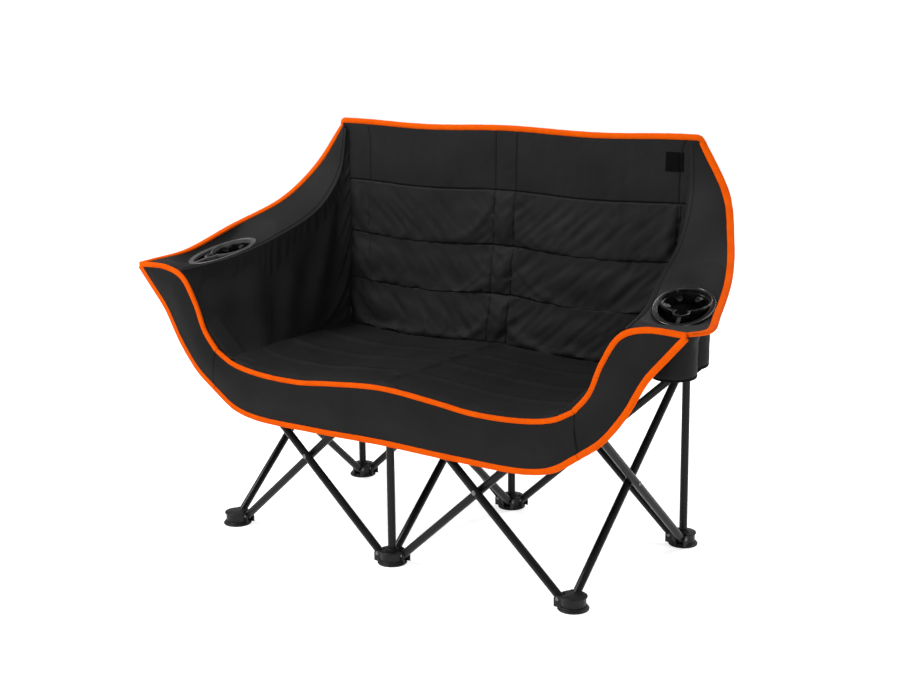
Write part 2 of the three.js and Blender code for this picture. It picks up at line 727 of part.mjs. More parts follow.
// Arm top: cloth between the inner seam and the outer binding, pressed flat under the cup ring
function armTopSurface(sign) {
  const inner = smooth(armInnerShares.map(armPlace), sign);
  const outer = smooth(armOuterShares.map(armPlace), sign);
  return (u, v) => {
    const near = inner.getPoint(u);
    const far = outer.getPoint(u);
    const width = near.distanceTo(far);
    const rib = far.clone().sub(near).divideScalar(width);
    const inset = (bindingRadius + bandSeamGap) / outer.getTangent(u).cross(rib).length() / width;
    const place = near.lerp(far, mix(0, 1 - inset, v));
    place.z += armCrown * Math.sin(Math.PI * v);
    const { share, along } = cupDistance(place, sign);
    const offSeam = THREE.MathUtils.smoothstep(v * (1 - v), 0, seamFadeShare);
    const flat = offSeam * (1 - THREE.MathUtils.smoothstep(share, 1, cupFlatReachShare));
    place.z = mix(place.z, cupCentre.z + along * cupPlaneRise, flat);
    return place;
  };
}
function makeArmTop(sign) {
  const surface = armTopSurface(sign);
  const cloth = sheet(surface, offsetSurface(surface, sign * armTopThickness), armTopColumns, armTopRows);
  const [halfWidth, halfLength] = [cupHalfWidth + runningGap, cupHalfLength + runningGap];
  const opening = [-1, 1].map((way) =>
    cupOval(sign, halfWidth, halfLength, () => cupCentre.z + way * cupHalfLength));
  return carve([cloth], [loft(opening)]);
}

// Inner arm panel: pleated cloth from the seat's side up to the arm top, kept off the arm tube
const innerPanelShift = clothThickness + seamGap;
function armTubeInside(z) {
  const axis = bay - pivotOffset + (z - jointHeight) * span / rise;
  return axis - (tubeRadius + runningGap) * pivotDistance / rise - innerPanelShift;
}
function makeArmInner(sign) {
  const upper = smooth(armInnerShares.map(armPlace));
  const front = smooth(armFrontShares.map((shares) => wingPlace(shares).setY(upper.getPoint(0).y)));
  const lowFront = front.getPoint(0);
  const lowRear = vector(seatHalfWidthRear + seamGap, backLeanAt(lowFront.z) - rearSeamGap, lowFront.z);
  const topPlace = (s) => upper.getPoint(s).add(vector(-clothThickness - armSeamGap, 0, -armSeamGap));
  const panel = (s, t) => {
    const chord = (share) => lowFront.clone().lerp(lowRear, share).lerp(topPlace(share), t);
    const place = chord(s);
    const frontShare = (1 - s) ** 3;
    place.addScaledVector(front.getPoint(t).sub(chord(0)), frontShare);
    const rear = chord(1);
    rear.y = backLeanAt(rear.z) - rearSeamGap - rear.y;
    place.y += s ** 4 * rear.y;
    place.x += pleatDepth * Math.sin(2 * Math.PI * pleatCount * s) * Math.sin(Math.PI * t);
    const beyond = Math.max(0, place.y + halfBay - hubReach);
    place.x = Math.min(place.x, armTubeInside(place.z) + beyond);
    return place;
  };
  const face = (shift) => (u, v) => {
    const place = panel(u, v);
    return vector(sign * (place.x + shift), place.y, place.z);
  };
  return sheet(face(0), face(clothThickness), pleatColumns, pleatRows);
}

// Cup holder: an oval ring with a round bore, a crescent slot, a skirt and flexible fingers
function makeCupHolder() {
  const depth = 2 * cupSkirtDepth;
  const ringHalf = cupRingThickness / 2;
  const boreAxis = vector(0, cupBoreShift, 0);
  const ovalPrism = (halfWidth, halfLength, half) => {
    const shape = new THREE.Shape();
    shape.absellipse(0, 0, halfWidth, halfLength, 0, 2 * Math.PI, false);
    const options = { depth: 2 * half, bevelEnabled: false, curveSegments: ovalSides / 2 };
    return new THREE.ExtrudeGeometry(shape, options).translate(0, 0, -half);
  };
  const bore = (radius, low, high) => drum(radius, low, high, ovalSides).translate(0, cupBoreShift, 0);
  const slotEnd = vector(cupHalfWidth, cupHalfLength, cupHalfLength);
  const slot = carve([ovalPrism(cupHalfWidth - slotInset, cupHalfLength - slotInset, cupRingThickness)], [
    bore(cupBoreRadius + slotWeb, -depth, depth),
    block(vector(-slotEnd.x, -slotWeb, -slotEnd.z), slotEnd),
    block(vector(-slotWeb, -slotEnd.y, -slotEnd.z), vector(slotWeb, 0, slotEnd.z)),
  ]);
  const ring = carve([ovalPrism(cupHalfWidth, cupHalfLength, ringHalf)], [slot]);
  const skirtOuter = cupBoreRadius - cupSkirtStep;
  const skirt = bore(cupBoreRadius + cupSkirtStep, -ringHalf - cupSkirtStep, ringHalf);
  const wall = bore(skirtOuter, -cupSkirtDepth, -ringHalf);
  const fingers = Array.from({ length: fingerCount }, (_, i) => {
    const fingerLow = -cupSkirtDepth / 2;
    const low = vector(-cupFingerWidth / 2, skirtOuter - cupSkirtWall - cupFingerLength, fingerLow);
    const high = vector(cupFingerWidth / 2, skirtOuter - cupSkirtWall / 2, fingerLow + cupFingerThickness);
    return block(low, high).rotateZ(2 * Math.PI * (i + 1 / 2) / fingerCount).translate(0, cupBoreShift, 0);
  });
  const shell = carve([ring, skirt, wall], [
    bore(skirtOuter - cupSkirtWall, -depth, depth),
    bore(cupBoreRadius, -ringHalf, depth),
  ]);
  return carve([shell, ...fingers]);
}

// Cup pouch: a hanging oval bag of cloth under the ring, open at the top
function makePouch(sign) {
  const topAt = (along) => cupCentre.z + along * cupPlaneRise - pouchTopDrop;
  const level = (height) => () => height;
  const ring = (shrink, heightAt) =>
    cupOval(sign, pouchHalfWidth - shrink, pouchHalfLength - shrink, heightAt);
  return loft([
    ring(pouchRound, level(pouchBottom)),
    ring(0, level(pouchBottom + pouchRound)),
    ring(0, topAt),
    ring(pouchWall, topAt),
    ring(pouchWall, level(pouchBottom + pouchRound)),
    ring(pouchRound + pouchWall, level(pouchBottom + pouchWall)),
  ]);
}

for (const [side, sign] of [["left", -1], ["right", 1]]) {
  addPiece(`${side}_arm_top`, makeArmTop(sign), armCloth);
  addPiece(`${side}_arm_inner_panel`, makeArmInner(sign), cloth);
  const edge = stretch(smooth(armOuterShares.map(armPlace), sign), 0, 1);
  addPiece(`${side}_arm_binding`, binding(edge, armBindingSteps), orangeBinding);
  const placement = new THREE.Matrix4().makeRotationZ(sign * cupTurn);
  placement.multiply(new THREE.Matrix4().makeRotationX(cupTilt));
  placement.setPosition(sign * cupCentre.x, cupCentre.y, cupCentre.z);
  addPiece(`${side}_cup_holder`, makeCupHolder(), cupPlastic, placement);
  addPiece(`${side}_cup_pouch`, makePouch(sign), cloth);
}

// Top binding of the back, and the bare label patch sewn near its right corner
const backTopPlaces = Array.from({ length: 2 * topBindingSpans + 1 }, (_, i) => {
  const x = (bay + topBindingOverhang) * (i / topBindingSpans - 1);
  return vector(x, backFrontDepth + clothThickness / 2, backTop(x));
});
addPiece("back_top_binding", binding(smooth(backTopPlaces), topBindingSteps), orangeBinding);
const labelX = backHalfWidthTop - labelSideInset;
const labelZ = backTopHeight - labelDrop;
const labelRear = backLeanAt(labelZ - labelSize / 2) - runningGap;
const labelHalf = labelSize / 2;
addPiece("label_patch", block(
  vector(labelX - labelHalf, labelRear - labelThickness, labelZ - labelHalf),
  vector(labelX + labelHalf, labelRear, labelZ + labelHalf),
), moulding);

export default loveseat;
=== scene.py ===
import math

import bmesh
import bpy
import numpy as np
from mathutils import Matrix, Vector, noise


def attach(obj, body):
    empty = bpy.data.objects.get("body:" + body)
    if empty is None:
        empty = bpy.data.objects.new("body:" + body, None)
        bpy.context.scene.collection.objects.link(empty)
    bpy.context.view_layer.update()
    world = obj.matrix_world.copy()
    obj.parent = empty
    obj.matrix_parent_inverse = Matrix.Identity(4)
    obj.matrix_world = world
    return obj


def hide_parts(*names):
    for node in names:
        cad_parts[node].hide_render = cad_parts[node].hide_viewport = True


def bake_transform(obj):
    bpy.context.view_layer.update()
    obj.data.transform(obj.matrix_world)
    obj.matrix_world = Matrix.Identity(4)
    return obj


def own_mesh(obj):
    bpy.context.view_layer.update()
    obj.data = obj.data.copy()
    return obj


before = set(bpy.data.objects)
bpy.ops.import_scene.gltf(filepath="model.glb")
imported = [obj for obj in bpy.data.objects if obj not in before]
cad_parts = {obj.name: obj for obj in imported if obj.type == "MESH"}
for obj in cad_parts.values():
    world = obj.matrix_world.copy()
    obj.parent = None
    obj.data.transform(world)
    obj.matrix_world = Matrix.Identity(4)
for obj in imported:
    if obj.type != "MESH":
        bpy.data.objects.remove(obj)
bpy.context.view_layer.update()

# The view: a long lens a little above the arms, turned to the sitters' left, as in the photograph.
camera_place = Vector((2.0585, -2.7992, 1.2292))
camera_right = Vector((0.8059, 0.5920, -0.0109)).normalized()
camera_back = Vector((0.5802, -0.7858, 0.2144)).normalized()
camera_up = camera_back.cross(camera_right)
lens_data = bpy.data.cameras.new("view")
lens_data.sensor_width = 36
lens_data.lens = 62.765
camera = bpy.data.objects.new("view", lens_data)
camera.matrix_world = Matrix.Translation(camera_place) @ Matrix(
    (camera_right, camera_up, camera_back)).transposed().to_4x4()
bpy.context.scene.collection.objects.link(camera)
bpy.context.scene.camera = camera


# The studio: a pale floor without an edge, a white room all round, one strong soft lamp high on the
# left and two weaker ones on the right and behind.
bpy.context.scene.view_settings.view_transform = "Standard"


def plain_material(name, colour, roughness):
    material = bpy.data.materials.new(name)
    material.use_nodes = True
    shader = material.node_tree.nodes["Principled BSDF"]
    shader.inputs["Base Color"].default_value = (*colour, 1)
    shader.inputs["Roughness"].default_value = roughness
    return material


floor_half = 60.0
floor_data = bpy.data.meshes.new("floor")
floor_data.from_pydata(
    [(-floor_half, -floor_half, 0), (floor_half, -floor_half, 0), (floor_half, floor_half, 0),
     (-floor_half, floor_half, 0)], [], [(0, 1, 2, 3)])
floor = bpy.data.objects.new("floor", floor_data)
floor_paint = plain_material("floor paint", colour=(0.72, 0.72, 0.72), roughness=0.85)
floor_shader = floor_paint.node_tree.nodes["Principled BSDF"]
floor_shader.inputs["Emission Color"].default_value = (1, 1, 1, 1)
floor_shader.inputs["Emission Strength"].default_value = 0.74
floor_data.materials.append(floor_paint)
bpy.context.scene.collection.objects.link(floor)

room = bpy.data.worlds.new("studio")
room.use_nodes = True
room.node_tree.nodes["Background"].inputs["Color"].default_value = (1, 1, 1, 1)
room_nodes, room_links = room.node_tree.nodes, room.node_tree.links
way_up = room_nodes.new("ShaderNodeTexCoord")
way_split = room_nodes.new("ShaderNodeSeparateXYZ")
room_fall = room_nodes.new("ShaderNodeMapRange")
room_fall.inputs["From Min"].default_value = 0.02
room_fall.inputs["From Max"].default_value = 0.22
room_fall.inputs["To Min"].default_value = 1.0
room_fall.inputs["To Max"].default_value = 0.34
room_links.new(way_up.outputs["Generated"], way_split.inputs["Vector"])
room_links.new(way_split.outputs["Z"], room_fall.inputs["Value"])
room_links.new(room_fall.outputs["Result"], room_nodes["Background"].inputs["Strength"])
bpy.context.scene.world = room

lamp_target = Vector((0, 0, 0.45))
lamps = [
    ("key", (-2.0, -1.8, 3.4), 1.6, 150),
    ("fill", (3.0, -1.6, 1.8), 1.6, 22),
    ("rim", (0.8, 2.4, 3.0), 2.0, 60),
]
for lamp_name, lamp_place, lamp_size, lamp_watts in lamps:
    lamp_data = bpy.data.lights.new(lamp_name, "AREA")
    lamp_data.shape = "DISK"
    lamp_data.size = lamp_size
    lamp_data.energy = lamp_watts
    lamp = bpy.data.objects.new(lamp_name, lamp_data)
    lamp.location = lamp_place
    aim = lamp_target - Vector(lamp_place)
    lamp.rotation_euler = aim.to_track_quat("-Z", "Y").to_euler()
    bpy.context.scene.collection.objects.link(lamp)


# The steel tubes: welded 18 mm tube in satin black powder coat, each end closed by a pressed-in
# black plug. Fourteen crossed tubes, three back uprights and the two tubes of the front post.
def grain_on(tree, scale, detail):
    """A noise texture fixed to the piece, its value from 0 to 1."""
    place = tree.nodes.new("ShaderNodeTexCoord")
    texture = tree.nodes.new("ShaderNodeTexNoise")
    texture.inputs["Scale"].default_value = scale
    texture.inputs["Detail"].default_value = detail
    tree.links.new(place.outputs["Object"], texture.inputs["Vector"])
    return texture.outputs["Fac"]


def ranged(tree, value, look, low, high, start=0.0, end=1.0):
    """Takes one look of the surface from low to high as a value goes from start to end."""
    change = tree.nodes.new("ShaderNodeMapRange")
    change.inputs["From Min"].default_value = start
    change.inputs["From Max"].default_value = end
    change.inputs["To Min"].default_value = low
    change.inputs["To Max"].default_value = high
    tree.links.new(value, change.inputs["Value"])
    tree.links.new(change.outputs["Result"], tree.nodes["Principled BSDF"].inputs[look])


def embossed(tree, height, strength, distance):
    """Fine relief on the surface, which follows a value."""
    bump = tree.nodes.new("ShaderNodeBump")
    bump.inputs["Strength"].default_value = strength
    bump.inputs["Distance"].default_value = distance
    tree.links.new(height, bump.inputs["Height"])
    tree.links.new(bump.outputs["Normal"], tree.nodes["Principled BSDF"].inputs["Normal"])


def powder_coat():
    material = plain_material("powder coated steel", colour=(0.005, 0.005, 0.0053), roughness=0.30)
    tree = material.node_tree
    tree.nodes["Principled BSDF"].inputs["Specular IOR Level"].default_value = 0.16
    embossed(tree, grain_on(tree, scale=650, detail=3), strength=0.06, distance=0.0004)
    rubbed = grain_on(tree, scale=21, detail=6)
    ranged(tree, rubbed, "Roughness", low=0.24, high=0.38, start=0.35, end=0.7)
    ranged(tree, rubbed, "Base Color", low=0.004, high=0.008)
    return material


def moulded(name, low, high, roughness, shine=0.5):
    material = plain_material(name, (low, low, low), roughness)
    tree = material.node_tree
    tree.nodes["Principled BSDF"].inputs["Specular IOR Level"].default_value = shine
    embossed(tree, grain_on(tree, scale=1400, detail=2), strength=0.18, distance=0.0002)
    ranged(tree, grain_on(tree, scale=60, detail=5), "Base Color", low, high, start=0.3, end=0.75)
    return material


def settle_piece(piece, body, replaced=()):
    """Fixes a piece to its body and hides the solids that it stands for."""
    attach(piece, body)
    if replaced:
        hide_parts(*replaced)
    return piece


def from_mesh(name, mesh_data, material_list, smooth_angle=40):
    """A piece of the scene from a mesh, smooth but for its sharp edges."""
    for material in material_list:
        mesh_data.materials.append(material)
    mesh_data.shade_smooth()
    mesh_data.set_sharp_from_angle(angle=math.radians(smooth_angle))
    piece = bpy.data.objects.new(name, mesh_data)
    bpy.context.scene.collection.objects.link(piece)
    return piece


def mesh_from(built, name):
    data = bpy.data.meshes.new(name)
    built.to_mesh(data)
    built.free()
    return data


def turned(profile, sides, marks=None):
    """A mesh turned about Z from (radius, height) pairs, the ends of the profile on the axis."""
    built = bmesh.new()
    rings = []
    for radius, height in profile:
        if radius == 0:
            rings.append([built.verts.new((0, 0, height))])
        else:
            turns = [2 * math.pi * k / sides for k in range(sides)]
            rings.append([built.verts.new((radius * math.cos(a), radius * math.sin(a), height))
                          for a in turns])
    for level, (low, high) in enumerate(zip(rings, rings[1:])):
        for k in range(sides):
            following = (k + 1) % sides
            if len(low) == 1:
                face = built.faces.new((low[0], high[k], high[following]))
            elif len(high) == 1:
                face = built.faces.new((low[k], high[0], low[following]))
            else:
                face = built.faces.new((low[k], high[k], high[following], low[following]))
            face.material_index = marks[level] if marks else 0
    bmesh.ops.recalc_face_normals(built, faces=built.faces)
    return mesh_from(built, "turned")


def laid_along(data, start, way):
    """The mesh with its Z turned along a way and its foot moved to the start."""
    turn = way.to_track_quat("Z", "Y").to_matrix().to_4x4()
    data.transform(Matrix.Translation(start) @ turn)
    return data


bay = 0.470
joint_height = 0.395
foot_pivot_height = 0.022
pivot_offset = 0.026
tube_radius = 0.009
crossing_gap = 0.0005
tube_end = 0.009
arm_tube_length = 0.286
upright_top = 0.904
tube_edge_round = 0.0004
tube_sides = 32
plug_lip = 0.0016
plug_crown = 0.0012
plug_shoulder_share, plug_shoulder_rise = 0.7, plug_crown * 0.8
post_low = 0.0053
front_post_top = 0.376
inner_post_low, inner_post_top, inner_post_radius = 0.040, 0.3947, 0.0072
span = bay - 2 * pivot_offset
rise = joint_height - foot_pivot_height
pivot_distance = math.hypot(span, rise)
tube_offset = tube_radius + crossing_gap / 2
half_bay = bay / 2
columns_x = {"left": -bay, "centre": 0.0, "right": bay}
lines_y = {"front": -half_bay, "back": half_bay}
steel = powder_coat()
plug_plastic = moulded("plug plastic", low=0.012, high=0.03, roughness=0.45)


def tube_piece(name, start, finish, radius=tube_radius):
    """A tube with rounded rims between two places, a domed plug pressed into each end."""
    way = finish - start
    length = way.length
    inside = radius - plug_lip
    shoulder, edge = inside * plug_shoulder_share, tube_edge_round
    profile = [
        (0, -plug_crown), (shoulder, -plug_shoulder_rise), (inside, 0), (inside, edge),
        (radius - edge, 0), (radius, edge), (radius, length - edge), (radius - edge, length),
        (inside, length - edge), (inside, length), (shoulder, length + plug_shoulder_rise),
        (0, length + plug_crown),
    ]
    marks = [1, 1, 1, 0, 0, 0, 0, 0, 1, 1, 1]
    data = laid_along(turned(profile, tube_sides, marks), start, way)
    return from_mesh(name, data, [steel, plug_plastic])


def foot_at(line, column, height=0.0):
    return Vector((columns_x[column], lines_y[line], height))


to_front, to_back, to_right = Vector((0, -1, 0)), Vector((0, 1, 0)), Vector((1, 0, 0))
faces = [
    ("front_left", ("front", "centre"), ("front", "left"), to_front, True),
    ("front_right", ("front", "centre"), ("front", "right"), to_back, True),
    ("back_left", ("back", "centre"), ("back", "left"), to_front, False),
    ("back_right", ("back", "centre"), ("back", "right"), to_back, False),
    ("side_left", ("back", "left"), ("front", "left"), to_right, False),
    ("side_centre", ("back", "centre"), ("front", "centre"), to_right, False),
    ("side_right", ("back", "right"), ("front", "right"), to_right, False),
]
for face_name, from_foot, to_foot, side, has_arm in faces:
    low_end, far_end = foot_at(*from_foot), foot_at(*to_foot)
    across = (far_end - low_end).normalized()
    kinds = ["arm_tube", "cross_tube"] if has_arm else ["cross_tube_1", "cross_tube_2"]
    bodies = {
        "arm_tube": f"{face_name}_arm_tube", "cross_tube": f"{face_name}_cross_tube",
        "cross_tube_1": f"{face_name}_tube_1", "cross_tube_2": f"{face_name}_tube_2",
    }
    ends = [(low_end, across, side, arm_tube_length if has_arm else tube_end),
            (far_end, -across, -side, tube_end)]
    for kind, (start, along, beside, extra) in zip(kinds, ends):
        climb = (along * span + Vector((0, 0, rise))).normalized()
        pivot = start + along * pivot_offset + beside * tube_offset
        pivot.z = foot_pivot_height
        tube = tube_piece(f"{face_name}_{kind}_steel", pivot - climb * tube_end,
                          pivot + climb * (pivot_distance + extra))
        settle_piece(tube, bodies[kind], [f"{face_name}_{kind}"])

for column in columns_x:
    post = tube_piece(f"back_{column}_upright_steel", foot_at("back", column, post_low),
                      foot_at("back", column, upright_top))
    body = "back_centre" if column == "centre" else f"back_{column}_post"
    settle_piece(post, body, [f"back_{column}_upright"])
front_post = tube_piece("front_centre_post_steel", foot_at("front", "centre", post_low),
                        foot_at("front", "centre", front_post_top))
settle_piece(front_post, "front_centre_post", ["front_centre_post"])
inner_post = tube_piece("front_centre_inner_post_steel", foot_at("front", "centre", inner_post_low),
                        foot_at("front", "centre", inner_post_top), inner_post_radius)
settle_piece(inner_post, "front_centre_hub", ["front_centre_inner_post"])


# The rivets: one through each crossing, zinc-plated steel with a domed head, a formed tail and a
# thin washer under each. Shorter ones of the same kind hold the tube ends in the feet and hubs.
def zinc():
    material = plain_material("zinc plated steel", colour=(0.32, 0.32, 0.33), roughness=0.35)
    tree = material.node_tree
    tree.nodes["Principled BSDF"].inputs["Metallic"].default_value = 1
    stained = grain_on(tree, scale=240, detail=4)
    ranged(tree, stained, "Base Color", low=0.10, high=0.22)
    ranged(tree, stained, "Roughness", low=0.25, high=0.5)
    return material


rivet_steel = zinc()
rivet_shank = 0.003
rivet_dome = 0.0018
rivet_dome_angles = (25, 50, 72)
rivet_sides = 24
washer_share, washer_thickness = 1.1, 0.0005
crossing_rivet_head, holder_rivet_head = 0.0048, 0.0042
rivet_spare = 0.0003


def rivet_data(middle, direction, reach, head):
    """A rivet about its middle, with a dome and a washer past its reach on both sides."""
    profile = [(0, -reach - rivet_dome)]
    for degrees in rivet_dome_angles:
        angle = math.radians(degrees)
        profile.append((head * math.sin(angle), -reach - rivet_dome * math.cos(angle)))
    rim, washer_top = head * washer_share, -reach + washer_thickness
    profile += [(head, -reach), (rim, -reach), (rim, washer_top), (rivet_shank, washer_top)]
    profile += [(radius, -height) for radius, height in reversed(profile)]
    return laid_along(turned(profile, rivet_sides), middle, direction)


for face_name, from_foot, to_foot, side, has_arm in faces:
    crossing = (foot_at(*from_foot) + foot_at(*to_foot)) / 2
    crossing.z = foot_pivot_height + rise / 2
    data = rivet_data(crossing, side, tube_offset + tube_radius + rivet_spare, crossing_rivet_head)
    rivet = from_mesh(f"{face_name}_rivet", data, [rivet_steel])
    body = f"{face_name}_arm_tube" if has_arm else f"{face_name}_tube_1"
    settle_piece(rivet, body, [f"{face_name}_cross_rivet"])


# The feet and hubs: black moulded nylon. Each foot is a spool of two flanges with a collar for its
# post, slotted for the tube ends, which sit between round-nosed cheeks. The hubs have such cheeks too.
foot_plastic = moulded("moulded nylon", low=0.0035, high=0.009, roughness=0.42, shine=0.2)
cheek_thickness = 0.003
cheek_reach = 0.008
cheek_half_height = 0.007
running_gap = 0.0003
wall_start = 0.0095
wall_thickness = 0.0032
socket_radius = tube_radius + running_gap
socket_outer = socket_radius + cheek_thickness
outer_cheek = tube_offset + tube_radius + running_gap
foot_base_radius = 0.033
foot_base_thickness = 0.005
foot_step_top = 0.0085
foot_step_radius, foot_step_foot = 0.0300, 0.0052
sole_round, rim_round, step_round, step_lean = 0.0012, 0.001, 0.0008, 0.0002
collar_top = 0.034
collar_round = 0.0006
collar_lip, collar_lip_height = 0.0012, 0.005
flange_radius, flange_low, flange_high = 0.0295, 0.0262, 0.0297
foot_wall_radius, foot_wall_thickness = 0.0268, 0.003
foot_overlap = 0.001
slot_start, slot_spare = 0.0165, 0.0012
sleeve_reach, bore_spare = 0.003, 0.02
inner_post_socket = 0.0075
hub_block_drop = 0.0015
moulding_round = 0.0005
disc_sides = 48
foot_profile = [
    (0, 0), (foot_base_radius - sole_round, 0), (foot_base_radius, sole_round),
    (foot_base_radius, foot_base_thickness - rim_round),
    (foot_base_radius - rim_round, foot_base_thickness),
    (foot_step_radius + step_lean, foot_step_foot), (foot_step_radius, foot_step_top - step_round),
    (foot_step_radius - step_round, foot_step_top), (0, foot_step_top),
]


def prism(outline, thickness):
    """A mesh of an outline in X and Y, from z 0 to its thickness."""
    built = bmesh.new()
    low = [built.verts.new((x, y, 0)) for x, y in outline]
    high = [built.verts.new((x, y, thickness)) for x, y in outline]
    built.faces.new(list(reversed(low)))
    built.faces.new(high)
    for k in range(len(outline)):
        following = (k + 1) % len(outline)
        built.faces.new((low[k], low[following], high[following], high[k]))
    return mesh_from(built, "prism")


def solid_box(low, high):
    data = prism([(low[0], low[1]), (high[0], low[1]), (high[0], high[1]), (low[0], high[1])],
                 high[2] - low[2])
    data.transform(Matrix.Translation((0, 0, low[2])))
    return data


def box_between(corner, other, low, high):
    """A box that two upright lines span, from a low level to a high one."""
    lowest = [min(corner[k], other[k]) for k in (0, 1)]
    highest = [max(corner[k], other[k]) for k in (0, 1)]
    return solid_box((*lowest, low), (*highest, high))


def evaluated_copy(piece):
    graph = bpy.context.evaluated_depsgraph_get()
    graph.update()
    return bpy.data.meshes.new_from_object(piece.evaluated_get(graph))


def united(joined, cut=(), bevel=moulding_round):
    """One mesh from closed meshes joined and cut, with its edges rounded."""
    work = bpy.data.objects.new("work", joined[0])
    bpy.context.scene.collection.objects.link(work)
    tools = [(data, "UNION") for data in joined[1:]] + [(data, "DIFFERENCE") for data in cut]
    for data, operation in tools:
        tool = bpy.data.objects.new("tool", data)
        bpy.context.scene.collection.objects.link(tool)
        change = work.modifiers.new("change", "BOOLEAN")
        change.solver = "MANIFOLD"
        change.operation = operation
        change.object = tool
        work.data = evaluated_copy(work)
        work.modifiers.clear()
        bpy.data.objects.remove(tool)
    if bevel:
        rounding = work.modifiers.new("rounding", "BEVEL")
        rounding.width = bevel
        rounding.segments = 2
        rounding.limit_method = "ANGLE"
        rounding.angle_limit = math.radians(40)
        work.data = evaluated_copy(work)
    result = work.data
    bpy.data.objects.remove(work)
    result.materials.clear()
    return result


def tube_ends(line, column, upper):
    """The tube ends at one foot or hub: the way each leaves, its side, and if it passes on."""
    found = []
    for _, from_foot, to_foot, side, has_arm in faces:
        across = (foot_at(*to_foot) - foot_at(*from_foot)).normalized()
        if from_foot == (line, column):
            found.append((across, -side if upper else side, False))
        if to_foot == (line, column):
            found.append((-across, side if upper else -side, upper and has_arm))
    return found


def cheek(toward, side, start, beside, low, height):
    """A plate beside a tube end, with a round nose about the tube's pivot."""
    nose = [(pivot_offset + cheek_reach * math.sin(a), height + cheek_half_height * math.cos(a))
            for a in [math.pi * k / 12 for k in range(13)]]
    if low < height - cheek_half_height:
        nose = [p for p in nose if p[1] >= height] + [(pivot_offset + cheek_reach, low)]
    outline = [(start, low)] + list(reversed(nose)) + [(start, height + cheek_half_height)]
    data = prism(outline, cheek_thickness)
    basis = Matrix((toward, Vector((0, 0, 1)), side)).transposed().to_4x4()
    data.transform(basis)
    data.transform(Matrix.Translation(side * beside))
    if basis.determinant() < 0:
        data.flip_normals()
    return data


def holder_parts(ends, height, low, has_wall):
    """The cheeks on both sides of each tube end, and in a hub the wall between them."""
    parts = []
    for toward, side, passes in ends:
        inner = -running_gap - cheek_thickness
        parts.append(cheek(toward, side, 0 if passes else wall_start, inner, low, height))
        if passes:
            continue
        parts.append(cheek(toward, side, wall_start, outer_cheek, low, height))
        if has_wall:
            far = toward * (wall_start + wall_thickness) + side * (outer_cheek + cheek_thickness)
            parts.append(box_between(toward * wall_start + side * inner, far, low,
                                     height + cheek_half_height))
    return parts


def pin_parts(ends, height):
    parts = []
    for toward, side, passes in ends:
        low, high = -running_gap - cheek_thickness, outer_cheek + cheek_thickness
        if passes:
            high = outer_cheek
        middle = toward * pivot_offset + side * (low + high) / 2 + Vector((0, 0, height))
        parts.append(rivet_data(middle, side, (high - low) / 2, holder_rivet_head))
    return parts


def joined_meshes(parts):
    built = bmesh.new()
    for data in parts:
        built.from_mesh(data)
    return mesh_from(built, "joined")


def disc(radius, low, high, round_off=0.0):
    return turned([(0, low), (radius - round_off, low), (radius, low + round_off),
                   (radius, high - round_off), (radius - round_off, high), (0, high)], disc_sides)


def spool(ends):
    """The foot's upper flange and the wall under it, slotted where the tubes come in."""
    slots = []
    for toward, side, _ in ends:
        reach = tube_radius + slot_spare
        slots.append(box_between(toward * slot_start + side * (tube_offset - reach),
                                 toward * 2 * flange_radius + side * (tube_offset + reach),
                                 0, 2 * flange_high))
    hollow = disc(foot_wall_radius - foot_wall_thickness, 0, flange_low)
    return united([disc(foot_wall_radius, foot_step_top - foot_overlap, flange_low + foot_overlap),
                   disc(flange_radius, flange_low, flange_high, step_round)], [hollow, *slots], 0)


def fit_moulding(node, body, parts, bore, ends, height, shift):
    """One moulded piece and the rivets through its cheeks, put in their place."""
    data = united(parts, bore)
    data.transform(shift)
    moulding = from_mesh(f"{node}_moulding", data, [foot_plastic])
    settle_piece(moulding, body, [node])
    pins = joined_meshes(pin_parts(ends, height))
    pins.transform(shift)
    settle_piece(from_mesh(f"{node}_rivets", pins, [rivet_steel]), body)


